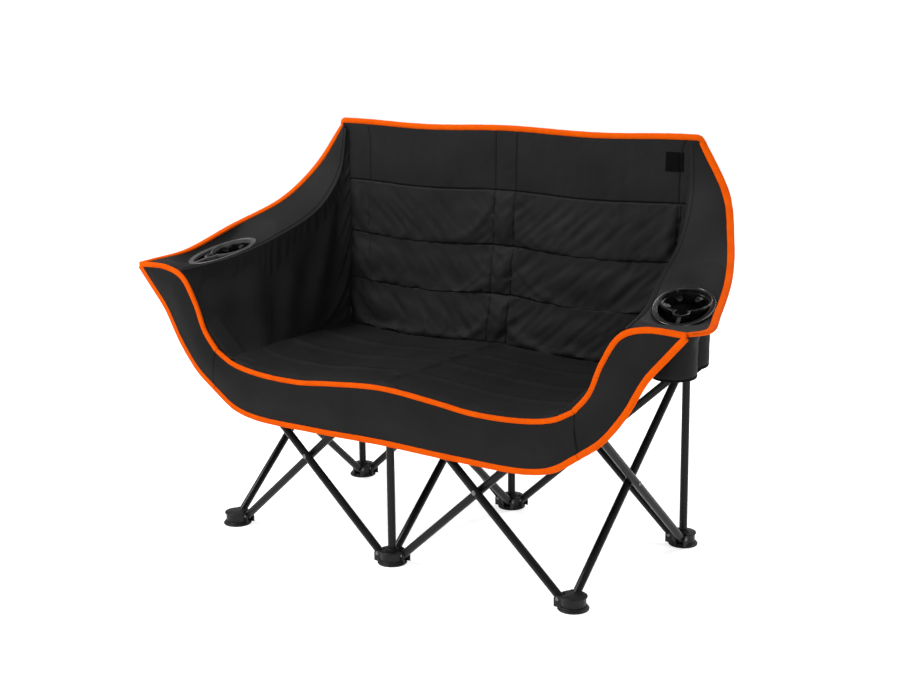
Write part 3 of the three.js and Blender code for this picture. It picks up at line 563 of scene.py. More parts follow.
body_of_foot = {
    ("front", "left"): "front_left_foot", ("front", "right"): "front_right_foot",
    ("front", "centre"): "front_centre_post", ("back", "left"): "back_left_post",
    ("back", "right"): "back_right_post", ("back", "centre"): "back_centre",
}
for line in lines_y:
    for column in columns_x:
        shift = Matrix.Translation(foot_at(line, column))
        has_post = line == "back" or column == "centre"
        lower = tube_ends(line, column, False)
        foot_collar_top = collar_top if has_post else foot_pivot_height + cheek_half_height
        parts = [
            turned(foot_profile, disc_sides),
            disc(socket_outer, foot_base_thickness, foot_collar_top, collar_round),
            *holder_parts(lower, foot_pivot_height, foot_base_thickness, False),
            spool(lower),
        ]
        if has_post:
            parts.append(disc(socket_outer + collar_lip, collar_top - collar_lip_height, collar_top,
                              collar_round))
        bore = [disc(socket_radius, foot_base_thickness, 2 * collar_top)] if has_post else []
        fit_moulding(f"{line}_{column}_foot", body_of_foot[line, column], parts, bore, lower,
                     foot_pivot_height, shift)

        upper = tube_ends(line, column, True)
        low, high = joint_height - cheek_half_height, joint_height + cheek_half_height
        parts = holder_parts(upper, joint_height, low, True)
        hub_name = f"{line}_{column}_slider" if line == "back" else f"{line}_{column}_hub"
        bore = []
        if line == "back":
            parts.insert(0, disc(socket_outer, low - sleeve_reach, high + sleeve_reach, collar_round))
            bore = [disc(socket_radius, low - bore_spare, high + bore_spare)]
        elif column == "centre":
            parts.insert(0, disc(socket_outer, low - sleeve_reach, high, collar_round))
            bore = [disc(inner_post_socket, low - bore_spare, joint_height)]
        else:
            held = next(end for end in upper if not end[2])
            passing = next(end for end in upper if end[2])
            inner = -running_gap - cheek_thickness
            front = inner if passing[1].dot(held[0]) > 0 else running_gap
            far = held[0] * (wall_start + wall_thickness) + held[1] * (outer_cheek + cheek_thickness)
            parts.insert(0, box_between(held[0] * front + held[1] * inner, far, low,
                                        high - hub_block_drop))
        fit_moulding(hub_name, hub_name, parts, bore, upper, joint_height, shift)


# The back: a padded panel of charcoal polyester over wadding, one tall flat row at the top and three
# channels under it, quilted by two lines of stitching down the middle and one near each side.
thread_height = 0.3


def woven(name, low, high, sheen, weave_size=0.0009, shine=0.13):
    """Cloth with waves of thread along each axis, loose fibres and an unevenly faded tone."""
    material = plain_material(name, (low, low, low), roughness=0.66)
    tree = material.node_tree
    nodes, links = tree.nodes, tree.links
    shader = nodes["Principled BSDF"]
    shader.inputs["Sheen Weight"].default_value = sheen
    shader.inputs["Sheen Roughness"].default_value = 0.5
    shader.inputs["Specular IOR Level"].default_value = shine
    place = nodes.new("ShaderNodeTexCoord")
    thread = nodes.new("ShaderNodeVectorMath")
    thread.operation = "SCALE"
    thread.inputs["Scale"].default_value = math.tau / weave_size
    split = nodes.new("ShaderNodeSeparateXYZ")
    links.new(place.outputs["Object"], thread.inputs[0])
    links.new(thread.outputs["Vector"], split.inputs["Vector"])
    relief = grain_on(tree, scale=900, detail=3)
    for axis in "XYZ":
        wave = nodes.new("ShaderNodeMath")
        wave.operation = "SINE"
        links.new(split.outputs[axis], wave.inputs[0])
        layer = nodes.new("ShaderNodeMath")
        layer.operation = "MULTIPLY_ADD"
        layer.inputs[1].default_value = thread_height
        links.new(wave.outputs[0], layer.inputs[0])
        links.new(relief, layer.inputs[2])
        relief = layer.outputs[0]
    embossed(tree, relief, strength=0.35, distance=0.0003)
    ranged(tree, grain_on(tree, scale=9, detail=7), "Base Color", low, high, start=0.3, end=0.75)
    return material


def unit(vectors):
    return vectors / np.maximum(np.linalg.norm(vectors, axis=-1, keepdims=True), 1e-12)


def normals_facing(points, axis, sign):
    """Normals of a grid of points, taken on the side that faces mostly along an axis."""
    normals = unit(np.cross(np.gradient(points, axis=1), np.gradient(points, axis=0)))
    return normals if normals[..., axis].mean() * sign > 0 else -normals


def grid_faces(rows, columns):
    return [(a, a + 1, a + 1 + columns, a + columns)
            for j in range(rows - 1) for a in range(j * columns, (j + 1) * columns - 1)]


def pinned_rim(points):
    """Pins for a grid of points, set along its four edges."""
    pins = np.ones(points.shape[:2], bool)
    pins[1:-1, 1:-1] = False
    return pins


def settled(points, pinned, pressure, growth, weight, frames, cap):
    """The grid of points after the cloth has swollen and sagged, held where it is pinned."""
    rows, columns = points.shape[:2]
    data = bpy.data.meshes.new("cloth at work")
    data.from_pydata(points.reshape(-1, 3).tolist(), [], grid_faces(rows, columns))
    work = bpy.data.objects.new("cloth at work", data)
    scene = bpy.context.scene
    scene.collection.objects.link(work)
    group = work.vertex_groups.new(name="held")
    group.add(np.flatnonzero(pinned.reshape(-1)).tolist(), 1, "REPLACE")
    cloth = work.modifiers.new("cloth", "CLOTH")
    cloth.settings.quality = 6
    cloth.settings.mass = 0.25
    cloth.settings.tension_stiffness = 18
    cloth.settings.compression_stiffness = 18
    cloth.settings.shear_stiffness = 6
    cloth.settings.bending_stiffness = 0.35
    cloth.settings.air_damping = 4
    cloth.settings.vertex_group_mass = "held"
    cloth.settings.shrink_min = -growth
    cloth.settings.use_pressure = True
    cloth.settings.uniform_pressure_force = pressure
    cloth.settings.effector_weights.gravity = weight
    cloth.collision_settings.use_collision = False
    cloth.point_cache.frame_start = 1
    cloth.point_cache.frame_end = frames
    for moment in range(1, frames + 1):
        scene.frame_set(moment)
    graph = bpy.context.evaluated_depsgraph_get()
    moved = work.evaluated_get(graph).to_mesh()
    result = np.zeros(len(moved.vertices) * 3)
    moved.vertices.foreach_get("co", result)
    bpy.data.objects.remove(work)
    scene.frame_set(1)
    step = result.reshape(points.shape) - points
    size = np.linalg.norm(step, axis=-1, keepdims=True)
    return points + step * np.minimum(1, cap / np.maximum(size, 1e-9))


cloth_smooth_angle = 60


def closed_mesh(name, points, quads):
    """A mesh from places and faces, with every face turned outwards."""
    data = bpy.data.meshes.new(name)
    data.from_pydata(points, [], quads)
    built = bmesh.new()
    built.from_mesh(data)
    bmesh.ops.recalc_face_normals(built, faces=built.faces)
    built.to_mesh(data)
    built.free()
    return data


def cloth_piece(name, front, rear, material):
    """A closed piece between two grids of points, front and rear, with its four edges joined."""
    rows, columns = front.shape[:2]
    count = rows * columns
    points = np.concatenate([front.reshape(-1, 3), rear.reshape(-1, 3)])
    quads = grid_faces(rows, columns)
    quads += [(count + a, count + d, count + c, count + b) for a, b, c, d in quads]
    rim = list(range(columns))
    rim += [j * columns + columns - 1 for j in range(1, rows)]
    rim += [(rows - 1) * columns + i for i in range(columns - 2, -1, -1)]
    rim += [j * columns for j in range(rows - 2, 0, -1)]
    for a, b in zip(rim, rim[1:] + rim[:1]):
        quads.append((b, a, count + a, count + b))
    return from_mesh(name, closed_mesh(name, points.tolist(), quads), [material], cloth_smooth_angle)


def sample(points, u, v):
    """Places on a grid of points at shares u across and v up."""
    rows, columns = points.shape[:2]
    x = np.clip(np.asarray(u, float), 0, 1) * (columns - 1)
    y = np.clip(np.asarray(v, float), 0, 1) * (rows - 1)
    i = np.minimum(x.astype(int), columns - 2)
    j = np.minimum(y.astype(int), rows - 2)
    fx, fy = (x - i)[:, None], (y - j)[:, None]
    low = points[j, i] * (1 - fx) + points[j, i + 1] * fx
    high = points[j + 1, i] * (1 - fx) + points[j + 1, i + 1] * fx
    return low * (1 - fy) + high * fy


stitch_pitch = 0.0045
stitch_length = 0.0033
stitch_radius = 0.0006
stitch_sink = 0.0004
stitch_lift = 0.0003
stitch_bed_share = 0.35
normal_feeler = 0.001
stitch_sides = 6
stitch_rings = [(-0.5, 0.35), (-0.38, 0.85), (0, 1), (0.38, 0.85), (0.5, 0.35)]


def resampled(path, pitch):
    steps = np.linalg.norm(np.diff(path, axis=0), axis=1)
    reach = np.concatenate([[0], np.cumsum(steps)])
    stations = np.arange(pitch / 2, reach[-1], pitch)
    return np.stack([np.interp(stations, reach, path[:, k]) for k in range(3)], axis=1)


def ring_faces(start, sides, count):
    """Faces between each ring of places and the next, the first ring starting at a number."""
    return [(ring + k, ring + (k + 1) % sides, ring + (k + 1) % sides + sides, ring + k + sides)
            for ring in range(start, start + (count - 1) * sides, sides) for k in range(sides)]


def stitch_line(path, normals, scale):
    """Vertices and faces of a row of stitches lying along a path on the cloth."""
    pitch, length = stitch_pitch * scale, stitch_length * scale
    places = resampled(path, pitch)
    lifted = resampled(path + normals * normal_feeler, pitch)[:len(places)]
    places = places[:len(lifted)]
    tangent = unit(np.gradient(places, axis=0))
    up = unit(lifted - places)
    beside = unit(np.cross(tangent, up))
    points, quads = [], []
    for place, t, n, b in zip(places, tangent, up, beside):
        start = len(points)
        for along, girth in stitch_rings:
            radius = stitch_radius * girth
            height = stitch_radius * stitch_bed_share - (1 - girth) * stitch_sink
            for turn in range(stitch_sides):
                a = math.tau * turn / stitch_sides
                points.append(place + t * along * length + n * (radius * math.sin(a) + height)
                              + b * radius * math.cos(a))
        last = start + (len(stitch_rings) - 1) * stitch_sides
        quads += ring_faces(start, stitch_sides, len(stitch_rings))
        quads.append(tuple(range(start + stitch_sides - 1, start - 1, -1)))
        quads.append(tuple(range(last, last + stitch_sides)))
    return points, quads


def stitching(name, lines, material, scale=1.0):
    """One piece from several rows of stitches, each a path and the cloth's normals along it."""
    points, quads = [], []
    for path, normals in lines:
        more_points, more_quads = stitch_line(np.asarray(path), np.asarray(normals), scale)
        offset = len(points)
        points += more_points
        quads += [tuple(k + offset for k in quad) for quad in more_quads]
    data = bpy.data.meshes.new(name)
    data.from_pydata([tuple(p) for p in points], [], quads)
    return from_mesh(name, data, [material], cloth_smooth_angle)


def ruffle(points, size, height, seed):
    """Small uneven heights for a grid of points, the same at every run."""
    flat = points.reshape(-1, 3) / size + seed
    values = [noise.noise(Vector(p)) for p in flat]
    return (np.array(values) * height).reshape(points.shape[:2] + (1,))


def creases(along, across, angle, long_size, short_size, seed):
    """Uneven folds, long one way and short the other, turned by an angle: about -1 to 1."""
    c, s = math.cos(angle), math.sin(angle)
    far = (along * c + across * s) / long_size
    near = (across * c - along * s) / short_size
    values = [noise.noise(Vector((a, b, seed))) for a, b in zip(far.reshape(-1), near.reshape(-1))]
    return np.array(values).reshape(along.shape) * 1.6


def smooth_places(knots, t):
    """Places at shares t of a centripetal curve through the knots."""
    knots = np.asarray(knots, float)
    t = np.atleast_1d(np.asarray(t, float))
    count = len(knots) - 1
    position = np.clip(t, 0, 1) * count
    part = np.minimum(position.astype(int), count - 1)
    weight = (position - part)[:, None]
    padded = np.vstack([2 * knots[0] - knots[1], knots, 2 * knots[-1] - knots[-2]])
    p0, p1, p2, p3 = (padded[part + k] for k in range(4))
    d0, d1, d2 = (np.sqrt(np.linalg.norm(b - a, axis=1))[:, None]
                  for a, b in ((p0, p1), (p1, p2), (p2, p3)))
    t1 = ((p1 - p0) / d0 - (p2 - p0) / (d0 + d1) + (p2 - p1) / d1) * d1
    t2 = ((p2 - p1) / d1 - (p3 - p1) / (d1 + d2) + (p3 - p2) / d2) * d1
    return (p1 + t1 * weight + (-3 * p1 + 3 * p2 - 2 * t1 - t2) * weight ** 2
            + (2 * p1 - 2 * p2 + t1 + t2) * weight ** 3)


tube_tip_x = bay - pivot_offset + arm_tube_length * span / pivot_distance
tube_tip_z = joint_height + arm_tube_length * rise / pivot_distance
# Knots of the cut edges: the band's as shares of the bay and the joints' height, the wings' as shares
# of the way from a hub to the tip of its arm tube.
band_lower_shares = [(0, 0.7165), (0.4255, 0.7089), (0.7979, 0.7165), (0.9319, 0.7544)]
band_upper_shares = [(0, 1.0203), (0.3191, 0.9924), (0.5106, 0.9696), (0.766, 0.9772),
                     (0.9319, 1.0127)]
wing_lower_shares = [(0.1387, -0.3203), (0.4162, -0.1208), (0.6937, 0.2048), (0.9392, 0.6039),
                     (1.174, 0.8665), (1.3768, 1.0871)]
wing_upper_shares = [(0.0854, 0.1523), (0.2775, 0.3729), (0.4269, 0.709), (0.6404, 1.0136),
                     (0.9072, 1.1081), (1.3768, 1.1081)]


binding_radius = 0.0055


def mix(a, b, share):
    return a + (b - a) * share


def band_place(shares):
    """A place of the front plane, at shares of the bay and of the joints' height."""
    return (shares[0] * bay, front_plane, shares[1] * joint_height)


def wing_place(shares):
    """A place of the front plane, at shares of the way from a hub to its arm tube's tip."""
    return (mix(bay, tube_tip_x, shares[0]), front_plane, mix(joint_height, tube_tip_z, shares[1]))


def whole_edge(band_shares, wing_shares):
    """An edge of the band from one hub to the other, which ends in the wing's first knot."""
    half = [band_place(s) for s in band_shares] + [wing_place(wing_shares[0])]
    return [(-x, y, z) for x, y, z in reversed(half[1:])] + half


hub_clearance = 0.0015
hub_reach = outer_cheek + cheek_thickness + hub_clearance
front_plane = -half_bay - hub_reach - running_gap - binding_radius
lower_edge = whole_edge(band_lower_shares, wing_lower_shares)
upper_edge = whole_edge(band_upper_shares, wing_upper_shares)
upper_places = smooth_places(upper_edge, np.linspace(0, 1, 400))
charcoal = woven("charcoal polyester", low=0.0055, high=0.0095, sheen=0.01)
dark_thread = woven("black thread", low=0.0015, high=0.003, sheen=0.0, weave_size=0.0004, shine=0.04)
seam_gap = 0.0004
cloth_thickness = 0.005
back_top_height = 0.922
back_top_sag = 0.006
back_row_bottoms = [0.778, 0.650, 0.536, 0.4234]
back_front_depth = 0.219
back_lean = 0.046
back_half_top = 0.482
back_half_bottom = 0.452
back_puff = 0.013
back_low = back_row_bottoms[-1]
back_tuck = 0.006
back_even_columns, back_even_rows = 145, 77
flat_row_fill = 0.18
edge_fade, edge_fill = 0.05, 0.25
middle_dip_depth, middle_dip_half = 0.45, 0.009
rear_puff, rear_flat_puff = 0.006, 0.004
pucker_fade, middle_pucker_fade = 0.016, 0.014
least_ruffle, least_pucker, least_fullness = 0.15, 0.25, 0.12
back_corner_reach, back_corner_start = 0.013, 0.93
groove_half, groove_depth = 0.0032, 0.0035
groove_core, groove_shoulder, groove_clear = 0.0015, 0.0045, 0.0055
column_groove_share = 0.6
pucker_depth, drawn_depth, middle_pucker = 0.0016, 0.0027, 1.7
seat_front_rise, seat_rear_rise = 0.0134, 0.019
seat_thickness = 0.009
seat_dip = 0.0085
middle_seam = 0.029
side_seams = (-0.405, 0.453)


def back_top(x):
    return back_top_height - back_top_sag * np.sin(math.pi * x / bay) ** 2


def back_lean_at(z):
    share = np.minimum(1, (back_top_height - z) / (back_top_height - back_low))
    return back_front_depth - back_lean * share ** 2


def seat_front_at(x):
    edge = np.interp(x, upper_places[:, 0], upper_places[:, 2])
    return np.minimum(joint_height + seat_front_rise, edge + binding_radius + seam_gap)


def seat_rear_at(x):
    return joint_height + seat_rear_rise - seat_dip * np.sin(math.pi * x / bay) ** 2


back_low_at = seat_rear_at(0.0) + seat_thickness - back_tuck
back_high_at = back_top(0.0) - binding_radius - seam_gap
seam_shares = [(seam - back_low_at) / (back_high_at - back_low_at) for seam in back_row_bottoms[:-1]]


def back_grid(shares, levels):
    """Places of the back across and up, from behind the seat's rear edge to the top tape."""
    v = levels[:, None]
    u = shares[None, :]
    half = back_half_bottom + (back_half_top - back_half_bottom) * np.minimum(1, 2 * v)
    half = half + back_corner_reach * np.clip((v - back_corner_start) / (1 - back_corner_start), 0, 1)
    x = half * (2 * u - 1)
    top = back_top(x) - binding_radius - seam_gap
    low = seat_rear_at(x) + seat_thickness - back_tuck
    z = low + (top - low) * v
    return x, z


column_seams = [-middle_seam, middle_seam, *side_seams]
even_shares = np.linspace(0, 1, back_even_columns)
even_reach = (2 * even_shares - 1) * back_half_top
clear_shares = even_shares[[min(abs(x - seam) for seam in column_seams) > groove_clear
                            for x in even_reach]]
groove_shares = [(seam + shift) / (2 * back_half_top) + 0.5 for seam in column_seams
                 for shift in (-groove_shoulder, -groove_half, 0, groove_half, groove_shoulder)]
back_shares = np.sort(np.concatenate([clear_shares, groove_shares]))
back_columns = len(back_shares)
even_levels = np.linspace(0, 1, back_even_rows)
back_length = back_high_at - back_low_at
clear_levels = even_levels[[min(abs(level - seam) for seam in seam_shares) * back_length > groove_clear
                            for level in even_levels]]
groove_levels = [seam + shift / back_length for seam in seam_shares
                 for shift in (-groove_shoulder, -groove_half, -groove_core, 0, groove_core, groove_half,
                               groove_shoulder)]
back_levels = np.sort(np.concatenate([clear_levels, groove_levels]))
back_rows = len(back_levels)
back_x, back_z = back_grid(back_shares, back_levels)
seam_rows = [int(np.argmin(abs(back_levels - seam))) for seam in seam_shares]
row_tops = [1 + 1e-6, *seam_shares]
row_feet = [*seam_shares, 0]
row_share, row_number = np.zeros(back_rows), np.zeros(back_rows, int)
for k, (high, low) in enumerate(zip(row_tops, row_feet)):
    inside = (back_levels >= low) & (back_levels <= high)
    row_share = np.where(inside, (back_levels - low) / (high - low), row_share)
    row_number = np.where(inside, k + 1, row_number)
row_share = np.broadcast_to(row_share[:, None], back_x.shape)
row_number = np.broadcast_to(row_number[:, None], back_x.shape)
puffed = np.where(row_number >= 2, np.sin(math.pi * np.clip(row_share, 0, 1)) ** 0.6, 0)
top_fill = np.where(row_number <= 1, flat_row_fill * np.sin(math.pi * np.clip(row_share, 0, 1)), 0)
edge_share = np.clip((1 - abs(back_x) / back_half_bottom) / edge_fade + edge_fill, 0, 1)
top_reach = (2 * back_shares - 1) * back_half_top
column_distance = np.min([abs(top_reach - seam) for seam in column_seams], axis=0)
middle_distance = (abs(top_reach) - middle_seam) / middle_dip_half
middle_dip = 1 - middle_dip_depth * np.exp(-middle_distance ** 2)[None, :]
swell = (puffed + top_fill) * back_puff * edge_share * middle_dip
seam_distance = np.min([abs(back_levels - seam) for seam in seam_shares], axis=0) * back_length
groove = np.maximum(0, 1 - seam_distance / groove_half)[:, None] * groove_depth
column_groove = np.maximum(0, 1 - column_distance / groove_half)[None, :] * groove_depth
groove = np.maximum(groove, column_groove * column_groove_share)
back_y = back_lean_at(back_z)
back_front = np.stack([back_x, back_y - swell, back_z], axis=-1)
back_front[..., 1:2] += (ruffle(back_front, size=0.07, height=0.003, seed=3.0)
                         * np.clip(puffed, least_ruffle, 1)[..., None])

back_pins = pinned_rim(back_front)
back_pins[seam_rows, :] = True
mid_columns = [int(np.argmin(abs(top_reach - sign * middle_seam))) for sign in (-1, 1)]
side_columns = [int(np.argmin(abs(top_reach - side_x))) for side_x in side_seams]
back_pins[::2, mid_columns] = True
back_pins[seam_rows[0]::2, side_columns] = True
hang = settled(back_front, back_pins, pressure=3.0, growth=0.012, weight=0.5, frames=22,
               cap=0.010) - back_front
back_front = back_front + hang * np.where(row_number <= 1, 0.3, 1.0)[..., None]
pucker = np.zeros_like(back_x)
for seam in back_row_bottoms[:-1]:
    pucker += (np.exp(-abs(back_z - seam) / pucker_fade)
               * creases(back_z, back_x, angle=0.25, long_size=0.05, short_size=0.0085, seed=seam))
for sign in (-1, 1):
    pucker += middle_pucker * (np.exp(-abs(back_x - sign * middle_seam) / middle_pucker_fade)
                               * creases(back_x, back_z, angle=0.2, long_size=0.05, short_size=0.010,
                                         seed=sign))
for side_x in side_seams:
    pucker += (np.exp(-abs(back_x - side_x) / middle_pucker_fade)
               * creases(back_x, back_z, angle=-0.2, long_size=0.05, short_size=0.010, seed=side_x))
right_drawn = creases(back_x, back_z, angle=0.75, long_size=0.14, short_size=0.020, seed=2.0)
left_drawn = creases(back_x, back_z, angle=-0.75, long_size=0.14, short_size=0.020, seed=4.0)
drawn = right_drawn * (back_x > 0) + left_drawn * (back_x <= 0)
drawn = 1 - 2.2 * abs(drawn) ** 0.8
fullness = np.clip(puffed, least_fullness, 1)
back_front[..., 1] -= (pucker_depth * pucker * np.clip(puffed * 2, least_pucker, 1)
                       + drawn_depth * drawn * fullness)
back_front[..., 1] += groove
back_rear = np.stack([back_x, back_y + cloth_thickness, back_z], axis=-1)
rear_swell = (puffed * rear_puff + top_fill * rear_flat_puff) * edge_share
back_rear[..., 1] += rear_swell
back = cloth_piece("back_padding", back_front, back_rear, charcoal)
settle_piece(back, "back_centre", ["back_panel"])

back_normals = normals_facing(back_front, 1, -1)
seam_lines = [(back_front[row] + back_normals[row] * stitch_lift, back_normals[row])
              for row in seam_rows]
column_lines = [(back_front[:, column] + back_normals[:, column] * stitch_lift, back_normals[:, column])
                for column in mid_columns]
column_lines += [(back_front[seam_rows[0]:, column], back_normals[seam_rows[0]:, column])
                 for column in side_columns]
back_seams = stitching("back_stitching", seam_lines, dark_thread)
column_stitches = stitching("back_column_stitching", column_lines, dark_thread, 1.9)
settle_piece(column_stitches, "back_centre")
settle_piece(back_seams, "back_centre")


def narrow_with_frame(piece):
    """Gives the piece a mesh of its own."""
    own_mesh(piece)


for piece in (back, back_seams, column_stitches):
    narrow_with_frame(piece)


# The seat: a padded sling of the same cloth between the frame's four sides, with a dip in each bay
# and quilted by cross seams. Its two halves meet at a seam and fold upwards like a book.
seat_front_inset = 0.0035
seat_front_depth = front_plane + seat_front_inset
seat_rear_depth = back_front_depth - back_lean - seam_gap
seat_half_front, seat_half_rear = bay - 0.027, bay - 0.024
seat_puff = 0.0025
seat_front_drop, seat_front_round = 0.0065, 0.028
seat_lip, seat_lip_rise = 0.009, 0.0012
seat_channels = 4
seat_columns, seat_rows = 151, 73


def seat_places(lift):
    v = np.linspace(0, 1, seat_rows)[:, None]
    u = np.linspace(-1, 1, seat_columns)[None, :]
    y = seat_front_depth + (seat_rear_depth - seat_front_depth) * v + 0 * u
    x = u * (seat_half_front + (seat_half_rear - seat_half_front) * v)
    bottom = seat_front_at(x) + (seat_rear_at(x) - seat_front_at(x)) * v
    lip = np.clip(1 - (y - seat_front_depth) / seat_lip, 0, 1)
    edge = np.interp(x, upper_places[:, 0], upper_places[:, 2])
    bottom = bottom + (edge + seat_lip_rise - bottom) * lip * lip * (3 - 2 * lip)
    drop = seat_front_drop * np.maximum(0, 1 - (y - seat_front_depth) / seat_front_round) ** 2
    swelling = seat_puff * abs(np.sin(math.pi * seat_channels * v)) * (1 - abs(u) ** 8)
    z = bottom + lift * (seat_thickness + swelling - drop)
    return np.stack([x, y, z], axis=-1)


seat_top = seat_places(1)
seat_top[..., 2:3] += ruffle(seat_top, size=0.06, height=0.0015, seed=11.0)
seat_pins = pinned_rim(seat_top)
for channel in range(1, seat_channels):
    seat_pins[round(channel * (seat_rows - 1) / seat_channels), ::2] = True
seat_pins[::3, seat_columns // 2] = True
seat_top = settled(seat_top, seat_pins, pressure=0.8, growth=0.018, weight=0.4, frames=18, cap=0.006)
seat_bottom = seat_places(0)
seat_normals = normals_facing(seat_top, 2, 1)
middle_row = (seat_rows - 1) // 2
halves = [("seat_front_padding", slice(0, middle_row + 1), "seat_front", "seat_front_panel"),
          ("seat_rear_padding", slice(middle_row, seat_rows), "seat_rear", "seat_rear_panel")]
for half_name, rows, body, node in halves:
    half = cloth_piece(half_name, seat_top[rows], seat_bottom[rows], charcoal)
    settle_piece(half, body, [node])
    narrow_with_frame(half)
for seam_name, body, channel_list in (("seat_front_stitching", "seat_front", (1,)),
                                      ("seat_rear_stitching", "seat_rear", (2, 3))):
    lines = []
    for channel in channel_list:
        row = round(channel * (seat_rows - 1) / seat_channels)
        if channel == 2:
            row += 1
        lines.append((seat_top[row] + seat_normals[row] * stitch_lift, seat_normals[row]))
    seams = stitching(seam_name, lines, charcoal)
    settle_piece(seams, body)
    narrow_with_frame(seams)


# The front band: flat unpadded polyester below the seat's front edge, bound in bright orange tape
# along both edges. It is sewn to the seat, a thin facing behind the tape, and hangs before the hubs.
tape_sides = 14
tape_end = 0.0015
tape_wide_power, tape_deep_power = 0.75, 0.85
ripple_pitch, ripple_share = 0.02, 0.05
tape_pucker_pitch, tape_pucker_share = 0.007, 0.10
tape_smooth_angle = 70


def tape(name, path, across, material, half_width=0.0056, half_depth=0.0042, seed=0.0):
    """A folded tape along a path, its broad way set by `across`, slightly puckered by its stitches."""
    path = np.asarray(path)
    tangent = unit(np.gradient(path, axis=0))
    wide = unit(across - tangent * np.sum(across * tangent, axis=1, keepdims=True))
    deep = np.cross(tangent, wide)
    angles = np.arange(tape_sides) * math.tau / tape_sides
    cosines, sines = np.cos(angles), np.sin(angles)
    section_wide = np.sign(cosines) * abs(cosines) ** tape_wide_power
    section_deep = np.sign(sines) * abs(sines) ** tape_deep_power
    reach = np.concatenate([[0], np.cumsum(np.linalg.norm(np.diff(path, axis=0), axis=1))])
    ripple = np.array([noise.noise(Vector((r / ripple_pitch, seed, 1.7))) for r in reach])
    pucker = np.array([noise.noise(Vector((r / tape_pucker_pitch, seed, 7.1))) for r in reach])
    rings = []
    for k, place in enumerate(path):
        width = half_width * (1 + ripple_share * ripple[k])
        depth = half_depth * (1 + tape_pucker_share * pucker[k])
        rings.append(place + wide[k] * (section_wide * width)[:, None]
                     + deep[k] * (section_deep * depth)[:, None])
    points = np.concatenate(rings).tolist()
    last = (len(path) - 1) * tape_sides
    quads = ring_faces(0, tape_sides, len(path))
    for ring, place, turn in ((0, path[0] - tangent[0] * tape_end, 1),
                              (last, path[-1] + tangent[-1] * tape_end, -1)):
        points.append(place.tolist())
        for k in range(tape_sides):
            quads.append((len(points) - 1, ring + (k + 1) % tape_sides, ring + k)[::turn])
    data = bpy.data.meshes.new(name)
    data.from_pydata(points, [], quads)
    return from_mesh(name, data, [material], tape_smooth_angle)


orange_tape = woven("orange tape", low=0.02, high=0.03, sheen=0.0, weave_size=0.0007, shine=0.03)
orange_tree = orange_tape.node_tree
orange_dye = orange_tree.nodes.new("ShaderNodeValToRGB")
orange_dye.color_ramp.elements[0].color = (0.57, 0.060, 0.0001, 1)
orange_dye.color_ramp.elements[1].color = (0.78, 0.103, 0.0002, 1)
orange_tree.links.new(grain_on(orange_tree, scale=30, detail=5), orange_dye.inputs["Fac"])
orange_tree.links.new(orange_dye.outputs["Color"],
                      orange_tree.nodes["Principled BSDF"].inputs["Base Color"])
band_thickness = 0.004
band_bulge = 0.006
band_full_width = 0.080
band_columns, band_rows = 181, 21
tape_lap_share = 0.6
facing_start, facing_points, facing_rows = 0.02, 121, 5
facing_shallow, facing_deep = 0.004, 0.020
facing_half, facing_fade = 0.455, 0.03
facing_inset, facing_drop, facing_thickness = 0.001, 0.0035, 0.001
lower_tape_half, seat_tape_half = 0.0074, 0.0058


def band_grid(lower_knots, upper_knots, finish, columns, rows):
    """Middle places of a flat band between two bound edges, bowed out a little."""
    t = np.linspace(0, finish, columns)
    low = smooth_places(lower_knots, t)
    high = smooth_places(upper_knots, t)
    width = np.linalg.norm(high - low, axis=1, keepdims=True)
    inset = (binding_radius * tape_lap_share) / width
    v = np.linspace(0, 1, rows)[:, None, None]
    share = inset + (1 - 2 * inset) * v
    places = low + (high - low) * share
    lift = band_bulge * np.sin(math.pi * v[..., 0]) * np.minimum(1, width[:, 0] / band_full_width)
    places[..., 1] -= lift
    return places


def free_between_edges(rows):
    """Shares for the rows of a grid: nothing at both edges and 1 halfway."""
    return np.sin(math.pi * np.linspace(0, 1, rows))[:, None, None]


def band_sheet(name, middle):
    """A flat piece of the band's cloth about its middle places."""
    half = np.array([0, band_thickness / 2, 0])
    return cloth_piece(name, middle - half, middle + half, band_cloth)


band_cloth = woven("band polyester", low=0.0038, high=0.0068, sheen=0.01)
band_middle = band_grid(lower_edge, upper_edge, 1, band_columns, band_rows)
band_ripple = (ruffle(band_middle, size=0.09, height=0.0022, seed=5.0)
               + ruffle(band_middle, size=0.03, height=0.0006, seed=9.0))
band_middle[..., 1:2] += band_ripple * free_between_edges(band_rows)
band = band_sheet("front_band_cloth", band_middle)
settle_piece(band, "front_centre_hub", ["front_band"])
narrow_with_frame(band)

facing_shares = np.linspace(facing_start, 1 - facing_start, facing_points)
facing_line = smooth_places(upper_edge, facing_shares)
facing_reach = facing_shallow + facing_deep * np.clip(
    (facing_half - abs(facing_line[:, 0])) / facing_fade, 0, 1)
facing_top = np.repeat(facing_line[None], facing_rows, axis=0)
facing_top += np.array([0, facing_inset, -facing_drop])
facing_top[..., 1] += np.linspace(0, 1, facing_rows)[:, None] * facing_reach
facing = cloth_piece("seat_edge_facing", facing_top, facing_top - np.array([0, 0, facing_thickness]),
                     band_cloth)
settle_piece(facing, "front_centre_hub")
narrow_with_frame(facing)

edge_shares = np.linspace(0, 1, 260)
for edge_name, knots, other, node, half_width in (
        ("band_lower_tape", lower_edge, upper_edge, "band_lower_binding", lower_tape_half),
        ("seat_edge_tape", upper_edge, lower_edge, "seat_edge_binding", seat_tape_half)):
    path = smooth_places(knots, edge_shares)
    across = unit(smooth_places(other, edge_shares) - path)
    edge = tape(edge_name, path, across, orange_tape, half_width, seed=half_width)
    settle_piece(edge, "front_centre_hub", [node])
    narrow_with_frame(edge)


